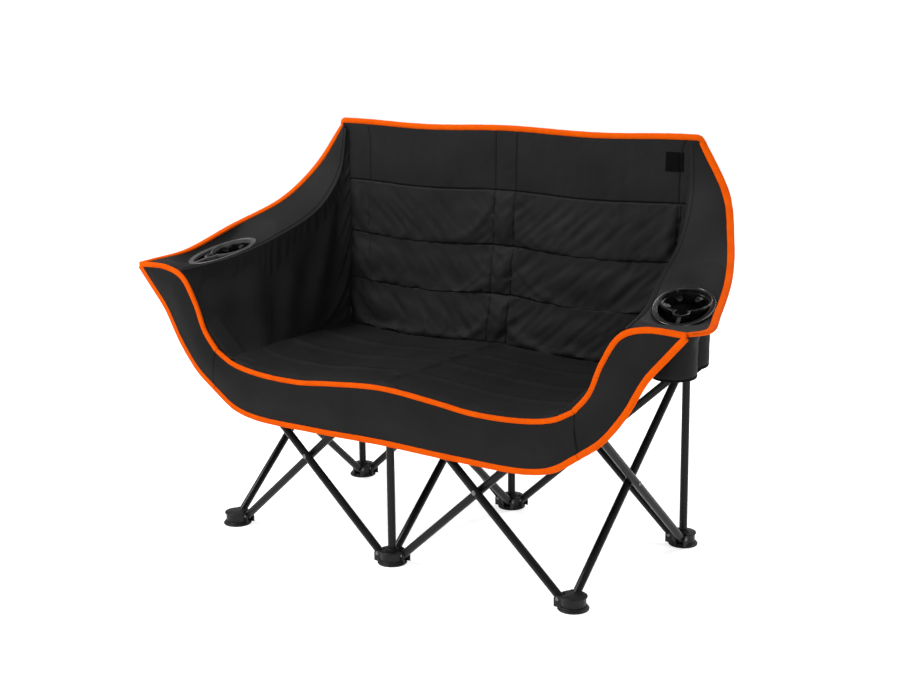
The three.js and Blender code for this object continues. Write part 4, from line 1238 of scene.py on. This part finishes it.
# The wings: the band's ends, cut as pointed flaps that run up the arm tubes to the front tips. Each
# is bound in the orange tape below and above and is sleeved on its tube, so it moves with it.
wing_reach, wing_columns, wing_rows = 0.97, 91, 19
wing_tape_start, wing_tape_points, wing_tip_points = 0.006, 120, 20
wing_stitch_lift = 0.0002
upper_tape_half = 0.0066

for side_name, sign in (("left", -1), ("right", 1)):
    body = f"front_{side_name}_arm_tube"
    lower_knots = [(sign * x, y, z) for x, y, z in map(wing_place, wing_lower_shares)]
    upper_knots = [(sign * x, y, z) for x, y, z in map(wing_place, wing_upper_shares)]
    middle = band_grid(lower_knots, upper_knots, wing_reach, wing_columns, wing_rows)
    middle[..., 1:2] += (ruffle(middle, size=0.07, height=0.0025, seed=21.0 + sign)
                         * free_between_edges(wing_rows))
    wing = band_sheet(f"{side_name}_wing_cloth", middle)
    settle_piece(wing, body, [f"{side_name}_front_wing"])
    seam_path = middle[:, 1] - np.array([0, band_thickness / 2 + wing_stitch_lift, 0])
    seam_normals = np.tile([0.0, -1.0, 0.0], (wing_rows, 1))
    wing_seam = stitching(f"{side_name}_wing_stitching", [(seam_path, seam_normals)], dark_thread)
    settle_piece(wing_seam, body)
    for edge_kind, knots, other_knots, half_width, seed in (
            ("lower", lower_knots, upper_knots, lower_tape_half, 3.0),
            ("upper", upper_knots, lower_knots, upper_tape_half, 4.0)):
        shares = np.linspace(wing_tape_start, 1, wing_tape_points)
        path = smooth_places(knots, shares)
        across = smooth_places(other_knots, shares) - path
        across[-wing_tip_points:] = across[-wing_tip_points - 1]
        edge = tape(f"{side_name}_wing_{edge_kind}_tape", path, unit(across), orange_tape, half_width,
                    seed=seed)
        replaced = [f"{side_name}_wing_binding"] if edge_kind == "lower" else []
        settle_piece(edge, body, replaced)


# The arms: a flat cloth top between the inner seam and the orange outer tape, and a hanging inner
# panel gathered in soft folds. Both run from the back's side edge to the front tip.
arm_inner_shares = [(0.6937, 0.0142, 0.0552), (0.523, 0.2979, 0.1027), (0.3202, 0.5651, 0.2216),
                    (0.1974, 0.8157, 0.388), (0.1281, 0.9524, 0.6375), (0.0854, 0.9855, 0.9525)]
arm_outer_shares = [(1.3875, 0.0125, 0.0641), (1.4675, 0.1219, 0.0611), (1.3288, 0.2979, 0.0998),
                    (1.1313, 0.5464, 0.2424), (0.8005, 0.8157, 0.4236), (0.5336, 0.971, 0.6613),
                    (0.1601, 1.0166, 0.9703)]
arm_front_shares = [(-0.1601, 0.0735), (0.0854, 0.1523), (0.2775, 0.3729), (0.4269, 0.709),
                    (0.6297, 1.0136), (0.6617, 1.0923)]
arm_top_thickness = 0.006
arm_front_edge = -0.2606
arm_front_lift = 0.004
arm_seam_lap = 0.007
arm_crown = 0.005
arm_seam_fade = 0.09
arm_seam_gap = 0.0022
rear_seam_gap = 0.0010
arm_columns, arm_rows, arm_front_columns = 121, 33, 3
panel_columns, panel_rows, flap_columns = 111, 61, 6
fold_depth, fold_softness = 0.0065, 0.005
flap_wall = np.array([0.001, 0.003, 0])
panel_wall = np.array([cloth_thickness, 0, 0])
arm_tape_half = 0.0078
arm_stitch_share, arm_stitch_points = 0.03, 200
hole_inset, hole_half_height = 0.004, 0.09


def arm_place(shares):
    """A place at shares of the way out to the tube's tip, back to the back, and up to its top."""
    return (mix(bay, tube_tip_x, shares[0]), mix(front_plane, back_front_depth, shares[1]),
            mix(tube_tip_z, back_top_height, shares[2]))


arm_inner_knots = [arm_place(shares) for shares in arm_inner_shares]
arm_outer_knots = [arm_place(shares) for shares in arm_outer_shares]
cup_centre = np.array(arm_place((0.8485, 0.3683, 0.0998)))
cup_turn = math.radians(18.5)
cup_tilt = math.radians(14.5)
cup_half_length, cup_half_width = 0.090, 0.063
cup_flat_reach = 1.6
cup_rise = math.tan(cup_tilt)


def cup_frame(sign):
    """Where a cup's ring lies, turned and tilted in its arm."""
    return (Matrix.Translation(Vector(cup_centre * np.array([sign, 1, 1])))
            @ Matrix.Rotation(sign * cup_turn, 4, "Z") @ Matrix.Rotation(cup_tilt, 4, "X"))


def smooth_step(values, low, high):
    share = np.clip((values - low) / (high - low), 0, 1)
    return share * share * (3 - 2 * share)


def arm_top_grid(columns, rows):
    """Upper places of the arm's flat top, level about the cup, before it is mirrored."""
    u = np.linspace(0, 1, columns)
    near, far = smooth_places(arm_inner_knots, u), smooth_places(arm_outer_knots, u)
    width = np.linalg.norm(far - near, axis=1, keepdims=True)
    v = np.linspace(0, 1, rows)[:, None, None]
    places = near + (far - near) * v * (1 - binding_radius * tape_lap_share / width)
    places[..., 2] += arm_crown * np.sin(math.pi * v[..., 0])
    turn = np.array([[math.cos(-cup_turn), -math.sin(-cup_turn)],
                     [math.sin(-cup_turn), math.cos(-cup_turn)]])
    plan = (places[..., :2] - cup_centre[:2]) @ turn.T
    distance = np.hypot(plan[..., 0] / cup_half_width, plan[..., 1] / cup_half_length)
    off_seam = smooth_step(v[..., 0] * (1 - v[..., 0]), 0, arm_seam_fade)
    flat = off_seam * (1 - smooth_step(distance, 1, cup_flat_reach))
    places[..., 2] = mix(places[..., 2], cup_centre[2] + plan[..., 1] * cup_rise, flat)
    front = np.clip(1 - np.arange(columns) / arm_front_columns, 0, 1) ** 2
    places[..., 1] += (arm_front_edge - places[:, :1, 1]) * front
    wing_edge = np.array([wing_place(s) for s in wing_upper_shares])
    on_tape = np.interp(places[..., 0], wing_edge[:, 0], wing_edge[:, 2]) + arm_front_lift
    places[..., 2] += (on_tape - places[..., 2]) * front * 0.8
    places[0] += np.array([-arm_seam_lap, 0, -arm_seam_lap * 0.7])
    return places


def arm_tube_inside(z):
    axis = bay - pivot_offset + (z - joint_height) * span / rise
    return axis - (tube_radius + running_gap) * pivot_distance / rise - cloth_thickness - seam_gap


def arm_inner_grid(columns, rows):
    """Inner places of the hanging panel, sitter's side, before it is mirrored."""
    s = np.linspace(0, 1, columns)
    t = np.linspace(0, 1, rows)[:, None, None]
    top = smooth_places(arm_inner_knots, s)
    top = top + np.array([-cloth_thickness - arm_seam_gap, 0, -arm_seam_gap])
    front_y = arm_inner_knots[0][1]
    front = smooth_places([(wing_place(k)[0], front_y, wing_place(k)[2]) for k in arm_front_shares],
                          t[:, 0, 0])
    low_front = front[0]
    low_rear = np.array([seat_half_rear + seam_gap, back_lean_at(low_front[2]) - rear_seam_gap,
                         low_front[2]])
    low = low_front + (low_rear - low_front) * s[:, None]
    places = low + (top - low) * t
    chord_front = low[0] + (top[0] - low[0]) * t[:, 0]
    places += ((front - chord_front)[:, None] * ((1 - s) ** 3)[None, :, None])
    rear_y = places[:, -1, 1]
    places[..., 1] += s ** 4 * (back_lean_at(places[:, -1, 2]) - rear_seam_gap - rear_y)[:, None]
    return places


def hang_on_arm(piece, side_name, sign, slot_name, *replaced):
    """Hides the solids that the piece stands for and bakes its place into its mesh."""
    if replaced:
        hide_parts(*replaced)
    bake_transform(piece)


def hanging_folds(s, t):
    """Soft uneven folds across the hanging panel, none at its edges."""
    folds = (np.sin(math.tau * (5.2 * s + 0.35 * np.sin(3.1 * s + 1.3 * t))) * 0.6
             + 0.5 * np.sin(math.tau * (2.3 * s + 0.21)))
    depth = fold_depth * np.sin(math.pi * np.clip(t, 0, 1)) ** 0.7 * np.sin(math.pi * s) ** 0.6
    return folds * depth


arm_cloth = woven("arm polyester", low=0.0070, high=0.0110, sheen=0.01)


def oval_prism(half_width, half_length, low, high, sides=72):
    """An upright oval block between two levels."""
    turns = [math.tau * k / sides for k in range(sides)]
    outline = [(half_width * math.cos(a), half_length * math.sin(a)) for a in turns]
    data = prism(outline, high - low)
    data.transform(Matrix.Translation((0, 0, low)))
    return data


for side_name, sign in (("left", -1), ("right", 1)):
    mirror = np.array([sign, 1, 1])
    top_places = arm_top_grid(arm_columns, arm_rows)
    top_places[..., 2:3] += (ruffle(top_places, size=0.08, height=0.002, seed=31.0)
                             * free_between_edges(arm_rows))
    lower_normals = normals_facing(top_places, 2, -1)
    under_places = top_places + lower_normals * arm_top_thickness
    top = cloth_piece(f"{side_name}_arm_top_cloth", top_places * mirror, under_places * mirror,
                      arm_cloth)
    hole = oval_prism(cup_half_width - hole_inset, cup_half_length - hole_inset, -hole_half_height,
                      hole_half_height)
    hole.transform(cup_frame(sign))
    top.data = united([top.data], [hole], 0)
    top.data.materials.append(arm_cloth)
    hang_on_arm(top, side_name, sign, "arm_cloth", f"{side_name}_arm_top")

    inner_places = arm_inner_grid(panel_columns, panel_rows)
    s = np.linspace(0, 1, panel_columns)[None, :]
    t = np.linspace(0, 1, panel_rows)[:, None]
    inner_places[..., 0] += hanging_folds(s, t)
    inner_places[..., 0:1] += (ruffle(inner_places, size=0.05, height=0.003, seed=41.0 + sign)
                               * np.sin(math.pi * t)[..., None])
    inner_places = settled(inner_places, pinned_rim(inner_places), pressure=-0.25, growth=0.02,
                           weight=0.8, frames=18, cap=0.008)
    front_edge = inner_places[:, :1] * np.array([1, 0, 1]) + np.array([0, arm_front_edge, 0])
    beyond = np.maximum(0, inner_places[..., 1] + half_bay - hub_reach)
    limit = arm_tube_inside(inner_places[..., 2]) + beyond
    closer = np.minimum(inner_places[..., 0], limit)
    apart = abs(inner_places[..., 0] - limit)
    inner_places[..., 0] = closer - fold_softness * np.log1p(np.exp(-apart / fold_softness))
    round_tube = np.linspace(0, 1, flap_columns + 1)[:-1][None, :, None]
    flap = front_edge + (inner_places[:, :1] - front_edge) * round_tube
    inner_places = np.concatenate([flap, inner_places], axis=1)
    turned_in = np.concatenate([round_tube[0, :, 0] ** 2, np.ones(panel_columns)])[None, :, None]
    outer_places = inner_places + (flap_wall * (1 - turned_in) + panel_wall * turned_in)
    panel = cloth_piece(f"{side_name}_arm_inner_cloth", inner_places * mirror, outer_places * mirror,
                        charcoal)
    hang_on_arm(panel, side_name, sign, "charcoal_cloth", f"{side_name}_arm_inner_panel")

    tape_shares = np.linspace(0, 1, 170)
    path = smooth_places(arm_outer_knots, tape_shares) * mirror
    toward = smooth_places(arm_inner_knots, tape_shares) * mirror - path
    edge = tape(f"{side_name}_arm_tape", path, unit(toward), orange_tape, arm_tape_half, seed=6.0 + sign)
    hang_on_arm(edge, side_name, sign, "orange_binding", f"{side_name}_arm_binding")

    row = np.linspace(0, 1, arm_stitch_points), np.full(arm_stitch_points, arm_stitch_share)
    row_normals = sample(-lower_normals, *row)
    row_path = sample(top_places, *row) + row_normals * stitch_lift
    seams = stitching(f"{side_name}_arm_stitching", [(row_path * mirror, row_normals * mirror)],
                      dark_thread)
    hang_on_arm(seams, side_name, sign, "arm_cloth")


# The cup holders: an oval moulded ring clipped into each arm top. Its round bore has a short skirt
# with six bendy fingers, and a thin web with a loop and a spoke crosses the crescent before it.
cup_plastic_dark = moulded("black cup plastic", low=0.004, high=0.008, roughness=0.24)
# The grey is a painted reflection. Both rings are the same glossy black plastic, and the left one's top
# is painted mid-grey where it catches the bright room at a grazing angle.
cup_plastic_painted_reflection = moulded("cup plastic with painted reflection", low=0.055, high=0.080, roughness=0.45)
cup_ring_half = 0.0045
cup_bore_radius = 0.049
cup_bore_shift = 0.026
cup_skirt_depth = 0.026
cup_skirt_wall = 0.002
cup_bore_lip = 0.0008
rim_width, web_width, spoke_half = 0.012, 0.0045, 0.0035
loop_shift, loop_hole, loop_wall = -0.031, 0.013, 0.0045
bead_radius, bead_inset, bead_drop = 0.0021, 0.0022, 0.002
bore_collar, cup_edge_round, skirt_overlap = 0.003, 0.0007, 0.0005
plate_low, plate_high = -cup_ring_half + 0.001, cup_ring_half - 0.0015
through, ring_through, past = 0.03, 0.02, 0.1
web_start = 0.004
bore_seat, painted_reflection_split = -0.0035, -0.0033
finger_count, finger_thickness, finger_drop, finger_droop = 6, 0.0018, -0.010, 14
finger_root = cup_bore_radius - 0.0022
finger_side = [(finger_root, 0.0085), (0.042, 0.0080), (0.035, 0.0060), (0.031, 0.002)]


def cup_disc(radius, low, high, shift=cup_bore_shift):
    data = disc(radius, low, high)
    data.transform(Matrix.Translation((0, shift, 0)))
    return data


def oval_lip(half_width, half_length, height, radius):
    """A round bead that runs round an oval."""
    sides, around = 10, 72
    built = bmesh.new()
    rings = []
    for k in range(around):
        a = math.tau * k / around
        centre = Vector((half_width * math.cos(a), half_length * math.sin(a), height))
        out = Vector((math.cos(a) / half_width, math.sin(a) / half_length, 0)).normalized()
        turns = [math.tau * m / sides for m in range(sides)]
        rings.append([built.verts.new(centre + out * radius * math.cos(b)
                                      + Vector((0, 0, radius * math.sin(b)))) for b in turns])
    for ring, following in zip(rings, rings[1:] + rings[:1]):
        for m in range(sides):
            beside = (m + 1) % sides
            built.faces.new((ring[m], following[m], following[beside], ring[beside]))
    bmesh.ops.recalc_face_normals(built, faces=built.faces)
    return mesh_from(built, "lip")


def finger(turn):
    """A flexible tab that reaches into the bore and droops at its tip."""
    data = prism(finger_side + [(x, -y) for x, y in reversed(finger_side)], finger_thickness)
    for vertex in data.vertices:
        vertex.co.z -= finger_droop * (finger_root - vertex.co.x) ** 2
    data.transform(Matrix.Translation((0, cup_bore_shift, finger_drop)) @ Matrix.Rotation(turn, 4, "Z"))
    return data


def make_cup():
    """The ring with its web, loop and spoke, the bore's skirt and the six fingers in it."""
    opening = united([oval_prism(cup_half_width - rim_width, cup_half_length - rim_width, -ring_through,
                                 ring_through)],
                     [cup_disc(cup_bore_radius + web_width, -through, through),
                      cup_disc(loop_hole + loop_wall, -through, through, loop_shift),
                      solid_box((-past, web_start, -through), (past, past, through)),
                      solid_box((-spoke_half, -past, -through), (spoke_half, 0.0, through))], 0)
    plate = united([oval_prism(cup_half_width, cup_half_length, plate_low, plate_high)], [opening], 0)
    skirt_outer = cup_bore_radius - cup_bore_lip
    shell = united([
        plate,
        oval_lip(cup_half_width - bead_inset, cup_half_length - bead_inset, cup_ring_half - bead_drop,
                 bead_radius),
        cup_disc(cup_bore_radius + bore_collar, -cup_ring_half, cup_ring_half),
        cup_disc(loop_hole + loop_wall, -cup_ring_half, cup_ring_half, loop_shift),
        cup_disc(skirt_outer, -cup_skirt_depth, -cup_ring_half + skirt_overlap),
    ], [cup_disc(cup_bore_radius, bore_seat, through),
        cup_disc(skirt_outer - cup_skirt_wall, -2 * through, through),
        cup_disc(loop_hole, -2 * through, through, loop_shift)], cup_edge_round)
    data = joined_meshes([shell, *(finger(math.tau * k / finger_count) for k in range(finger_count))])
    # Faces above the split take the first material. On the left ring that is the painted reflection
    # grey, and the faces below stay black.
    for polygon in data.polygons:
        polygon.material_index = int(polygon.center.z < painted_reflection_split)
    return data


# The cup pouches: a bag of the same polyester sewn under each ring, with a deep lobe in front for a
# telephone or keys and a rounder one behind for the bottle, both hemmed with black tape below.
pouch_lobes = [(-0.011, -0.038, 0.046, 0.050), (0.0, 0.036, 0.047, 0.050)]
pouch_front_low, pouch_rear_low = 0.4865, 0.4945
pouch_top_drop = 0.0052
pouch_wall, pouch_floor_wall, hem_tuck = 0.003, 0.003, 0.002
hem_rise, hem_half_width, hem_half_depth = 0.0035, 0.0042, 0.0026
hem_curl, hem_curl_rate = 0.004, 14
pouch_side_gap, pouch_end_gap = 0.0005, 0.003
lobes_end_share = 0.55
front_lobe_end, rear_lobe_start = -0.006, 0.012
pouch_sides, pouch_levels = 96, 19


def lobe_reach(angle):
    """How far the two lobes' joint outline lies from the pouch's middle, along an angle."""
    c, s = math.cos(angle), math.sin(angle)
    reach = 0
    for beside, along, half_wide, half_long in pouch_lobes:
        a = (c / half_wide) ** 2 + (s / half_long) ** 2
        b = -2 * (c * beside / half_wide ** 2 + s * along / half_long ** 2)
        d = (beside / half_wide) ** 2 + (along / half_long) ** 2 - 1
        reach = max(reach, (-b + math.sqrt(b * b - 4 * a * d)) / (2 * a))
    return reach


def pouch_ring(sign, shrink, share):
    """Places round the pouch at a share of its height, 0 at the hem and 1 under the ring."""
    ring = []
    for k in range(pouch_sides):
        angle = math.tau * k / pouch_sides
        c, s = math.cos(angle), math.sin(angle)
        oval = 1 / math.hypot(c / (cup_half_width - pouch_side_gap),
                              s / (cup_half_length - pouch_end_gap))
        spread = float(smooth_step(share, lobes_end_share, 1.0))
        reach = mix(lobe_reach(angle), oval, spread) - shrink
        along, beside = reach * s, reach * c
        turn = sign * cup_turn
        x = sign * cup_centre[0] + beside * sign * math.cos(turn) - along * math.sin(turn)
        y = cup_centre[1] + beside * sign * math.sin(turn) + along * math.cos(turn)
        rearward = float(smooth_step(along, front_lobe_end, rear_lobe_start))
        low = mix(pouch_front_low, pouch_rear_low, rearward)
        high = cup_centre[2] + along * cup_rise - pouch_top_drop
        ring.append((x, y, mix(low, high, share)))
    return np.array(ring)


for side_name, sign in (("left", -1), ("right", 1)):
    cup_data = make_cup()
    cup_data.transform(cup_frame(sign))
    # The left ring's top carries the painted reflection grey. The right ring is black all over.
    cup = from_mesh(f"{side_name}_cup_moulding", cup_data,
                    [cup_plastic_painted_reflection if side_name == "left" else cup_plastic_dark, cup_plastic_dark])
    settle_piece(cup, f"{side_name}_cup", [f"{side_name}_cup_holder"])

    middle = np.array([sign * cup_centre[0], cup_centre[1], 0])
    levels = np.linspace(0, 1, pouch_levels)
    outer_grid = np.array([pouch_ring(sign, hem_curl * max(0, 1 - hem_curl_rate * share), share)
                           for share in levels])
    crease = (ruffle(outer_grid, size=0.035, height=0.0026, seed=51.0 + sign)
              + ruffle(outer_grid, size=0.012, height=0.0006, seed=61.0))
    outward = unit((outer_grid - middle) * np.array([1, 1, 0]))
    outer_grid = outer_grid + outward * crease * np.sin(math.pi * levels)[:, None, None] ** 0.6
    inner_grid = outer_grid - outward * pouch_wall
    inner_grid[0, :, 2] += hem_tuck
    points = np.concatenate([outer_grid.reshape(-1, 3), inner_grid[::-1].reshape(-1, 3)]).tolist()
    quads = ring_faces(0, pouch_sides, 2 * pouch_levels)
    floor_low = (pouch_front_low + pouch_rear_low) / 2
    for ring_start, height in ((0, floor_low),
                               ((2 * pouch_levels - 1) * pouch_sides, floor_low + pouch_floor_wall)):
        points.append([sign * cup_centre[0], cup_centre[1], height])
        for k in range(pouch_sides):
            quads.append((len(points) - 1, ring_start + k, ring_start + (k + 1) % pouch_sides))
    pouch = from_mesh(f"{side_name}_pouch_cloth", closed_mesh("pouch", points, quads), [charcoal],
                      cloth_smooth_angle)
    settle_piece(pouch, f"{side_name}_cup", [f"{side_name}_cup_pouch"])

    hem_ring = outer_grid[0] + np.array([0, 0, hem_rise])
    hem_path = np.vstack([hem_ring, hem_ring[:1]])
    hem_across = unit((hem_path - middle) * np.array([1, 1, 0]))
    hem = tape(f"{side_name}_pouch_hem", hem_path, hem_across * 0.3 + np.array([0, 0, 1.0]), dark_thread,
               hem_half_width, hem_half_depth, seed=8.0)
    settle_piece(hem, f"{side_name}_cup")


# The top of the back: the orange tape over the back's upper edge, and a bare black patch sewn near
# its right corner.
top_points = 260
top_overhang = 0.021
top_tape_half = 0.0070
top_x = (bay + top_overhang) * np.linspace(-1, 1, top_points)
top_y = np.full(top_points, back_front_depth + cloth_thickness / 2)
top_line = np.stack([top_x, top_y, back_top(top_x)], axis=1)
corner = np.array([(0.4965, 0.2235, 0.9195), (0.4995, 0.2253, 0.9155), (0.5008, 0.2266, 0.9105)])
corner_across = np.array([(0.5, 0.0, 0.86), (0.86, 0.0, 0.5), (1.0, 0.0, 0.1)])
flip = np.array([-1, 1, 1])
top_path = np.concatenate([corner[::-1] * flip, top_line, corner])
top_across = np.concatenate([corner_across[::-1] * flip, np.tile([0.0, 0.0, 1.0], (top_points, 1)),
                             corner_across])
top_tape = tape("back_top_tape", top_path, top_across, orange_tape, top_tape_half, seed=12.0)
settle_piece(top_tape, "back_centre", ["back_top_binding"])
narrow_with_frame(top_tape)

label_half = 0.021
label_x, label_z = back_half_top - 0.042, back_top_height - 0.054
label_points = 25
label_lift, label_thickness = 0.0012, 0.0010
label_reach = label_half * np.linspace(-1, 1, label_points)
label_face = np.zeros((label_points, label_points, 3))
label_face[..., 0] = label_x + label_reach[None, :]
label_face[..., 2] = label_z + label_reach[:, None]
u_share = (label_face[..., 0] + back_half_top) / (2 * back_half_top)
v_share = (label_face[..., 2] - back_low_at) / back_length
level_share = np.interp(v_share, back_levels, np.linspace(0, 1, back_rows))
column_share = np.interp(u_share, back_shares, np.linspace(0, 1, back_columns))
on_back = sample(back_front, column_share.reshape(-1), level_share.reshape(-1))
label_face[..., 1] = on_back[:, 1].reshape(label_points, label_points) - label_lift
label_cloth = woven("bare label", low=0.0012, high=0.0020, sheen=0.0, weave_size=0.0005, shine=0.04)
label = cloth_piece("bare_label", label_face, label_face + np.array([0, label_thickness, 0]),
                    label_cloth)
settle_piece(label, "back_centre", ["label_patch"])
narrow_with_frame(label)
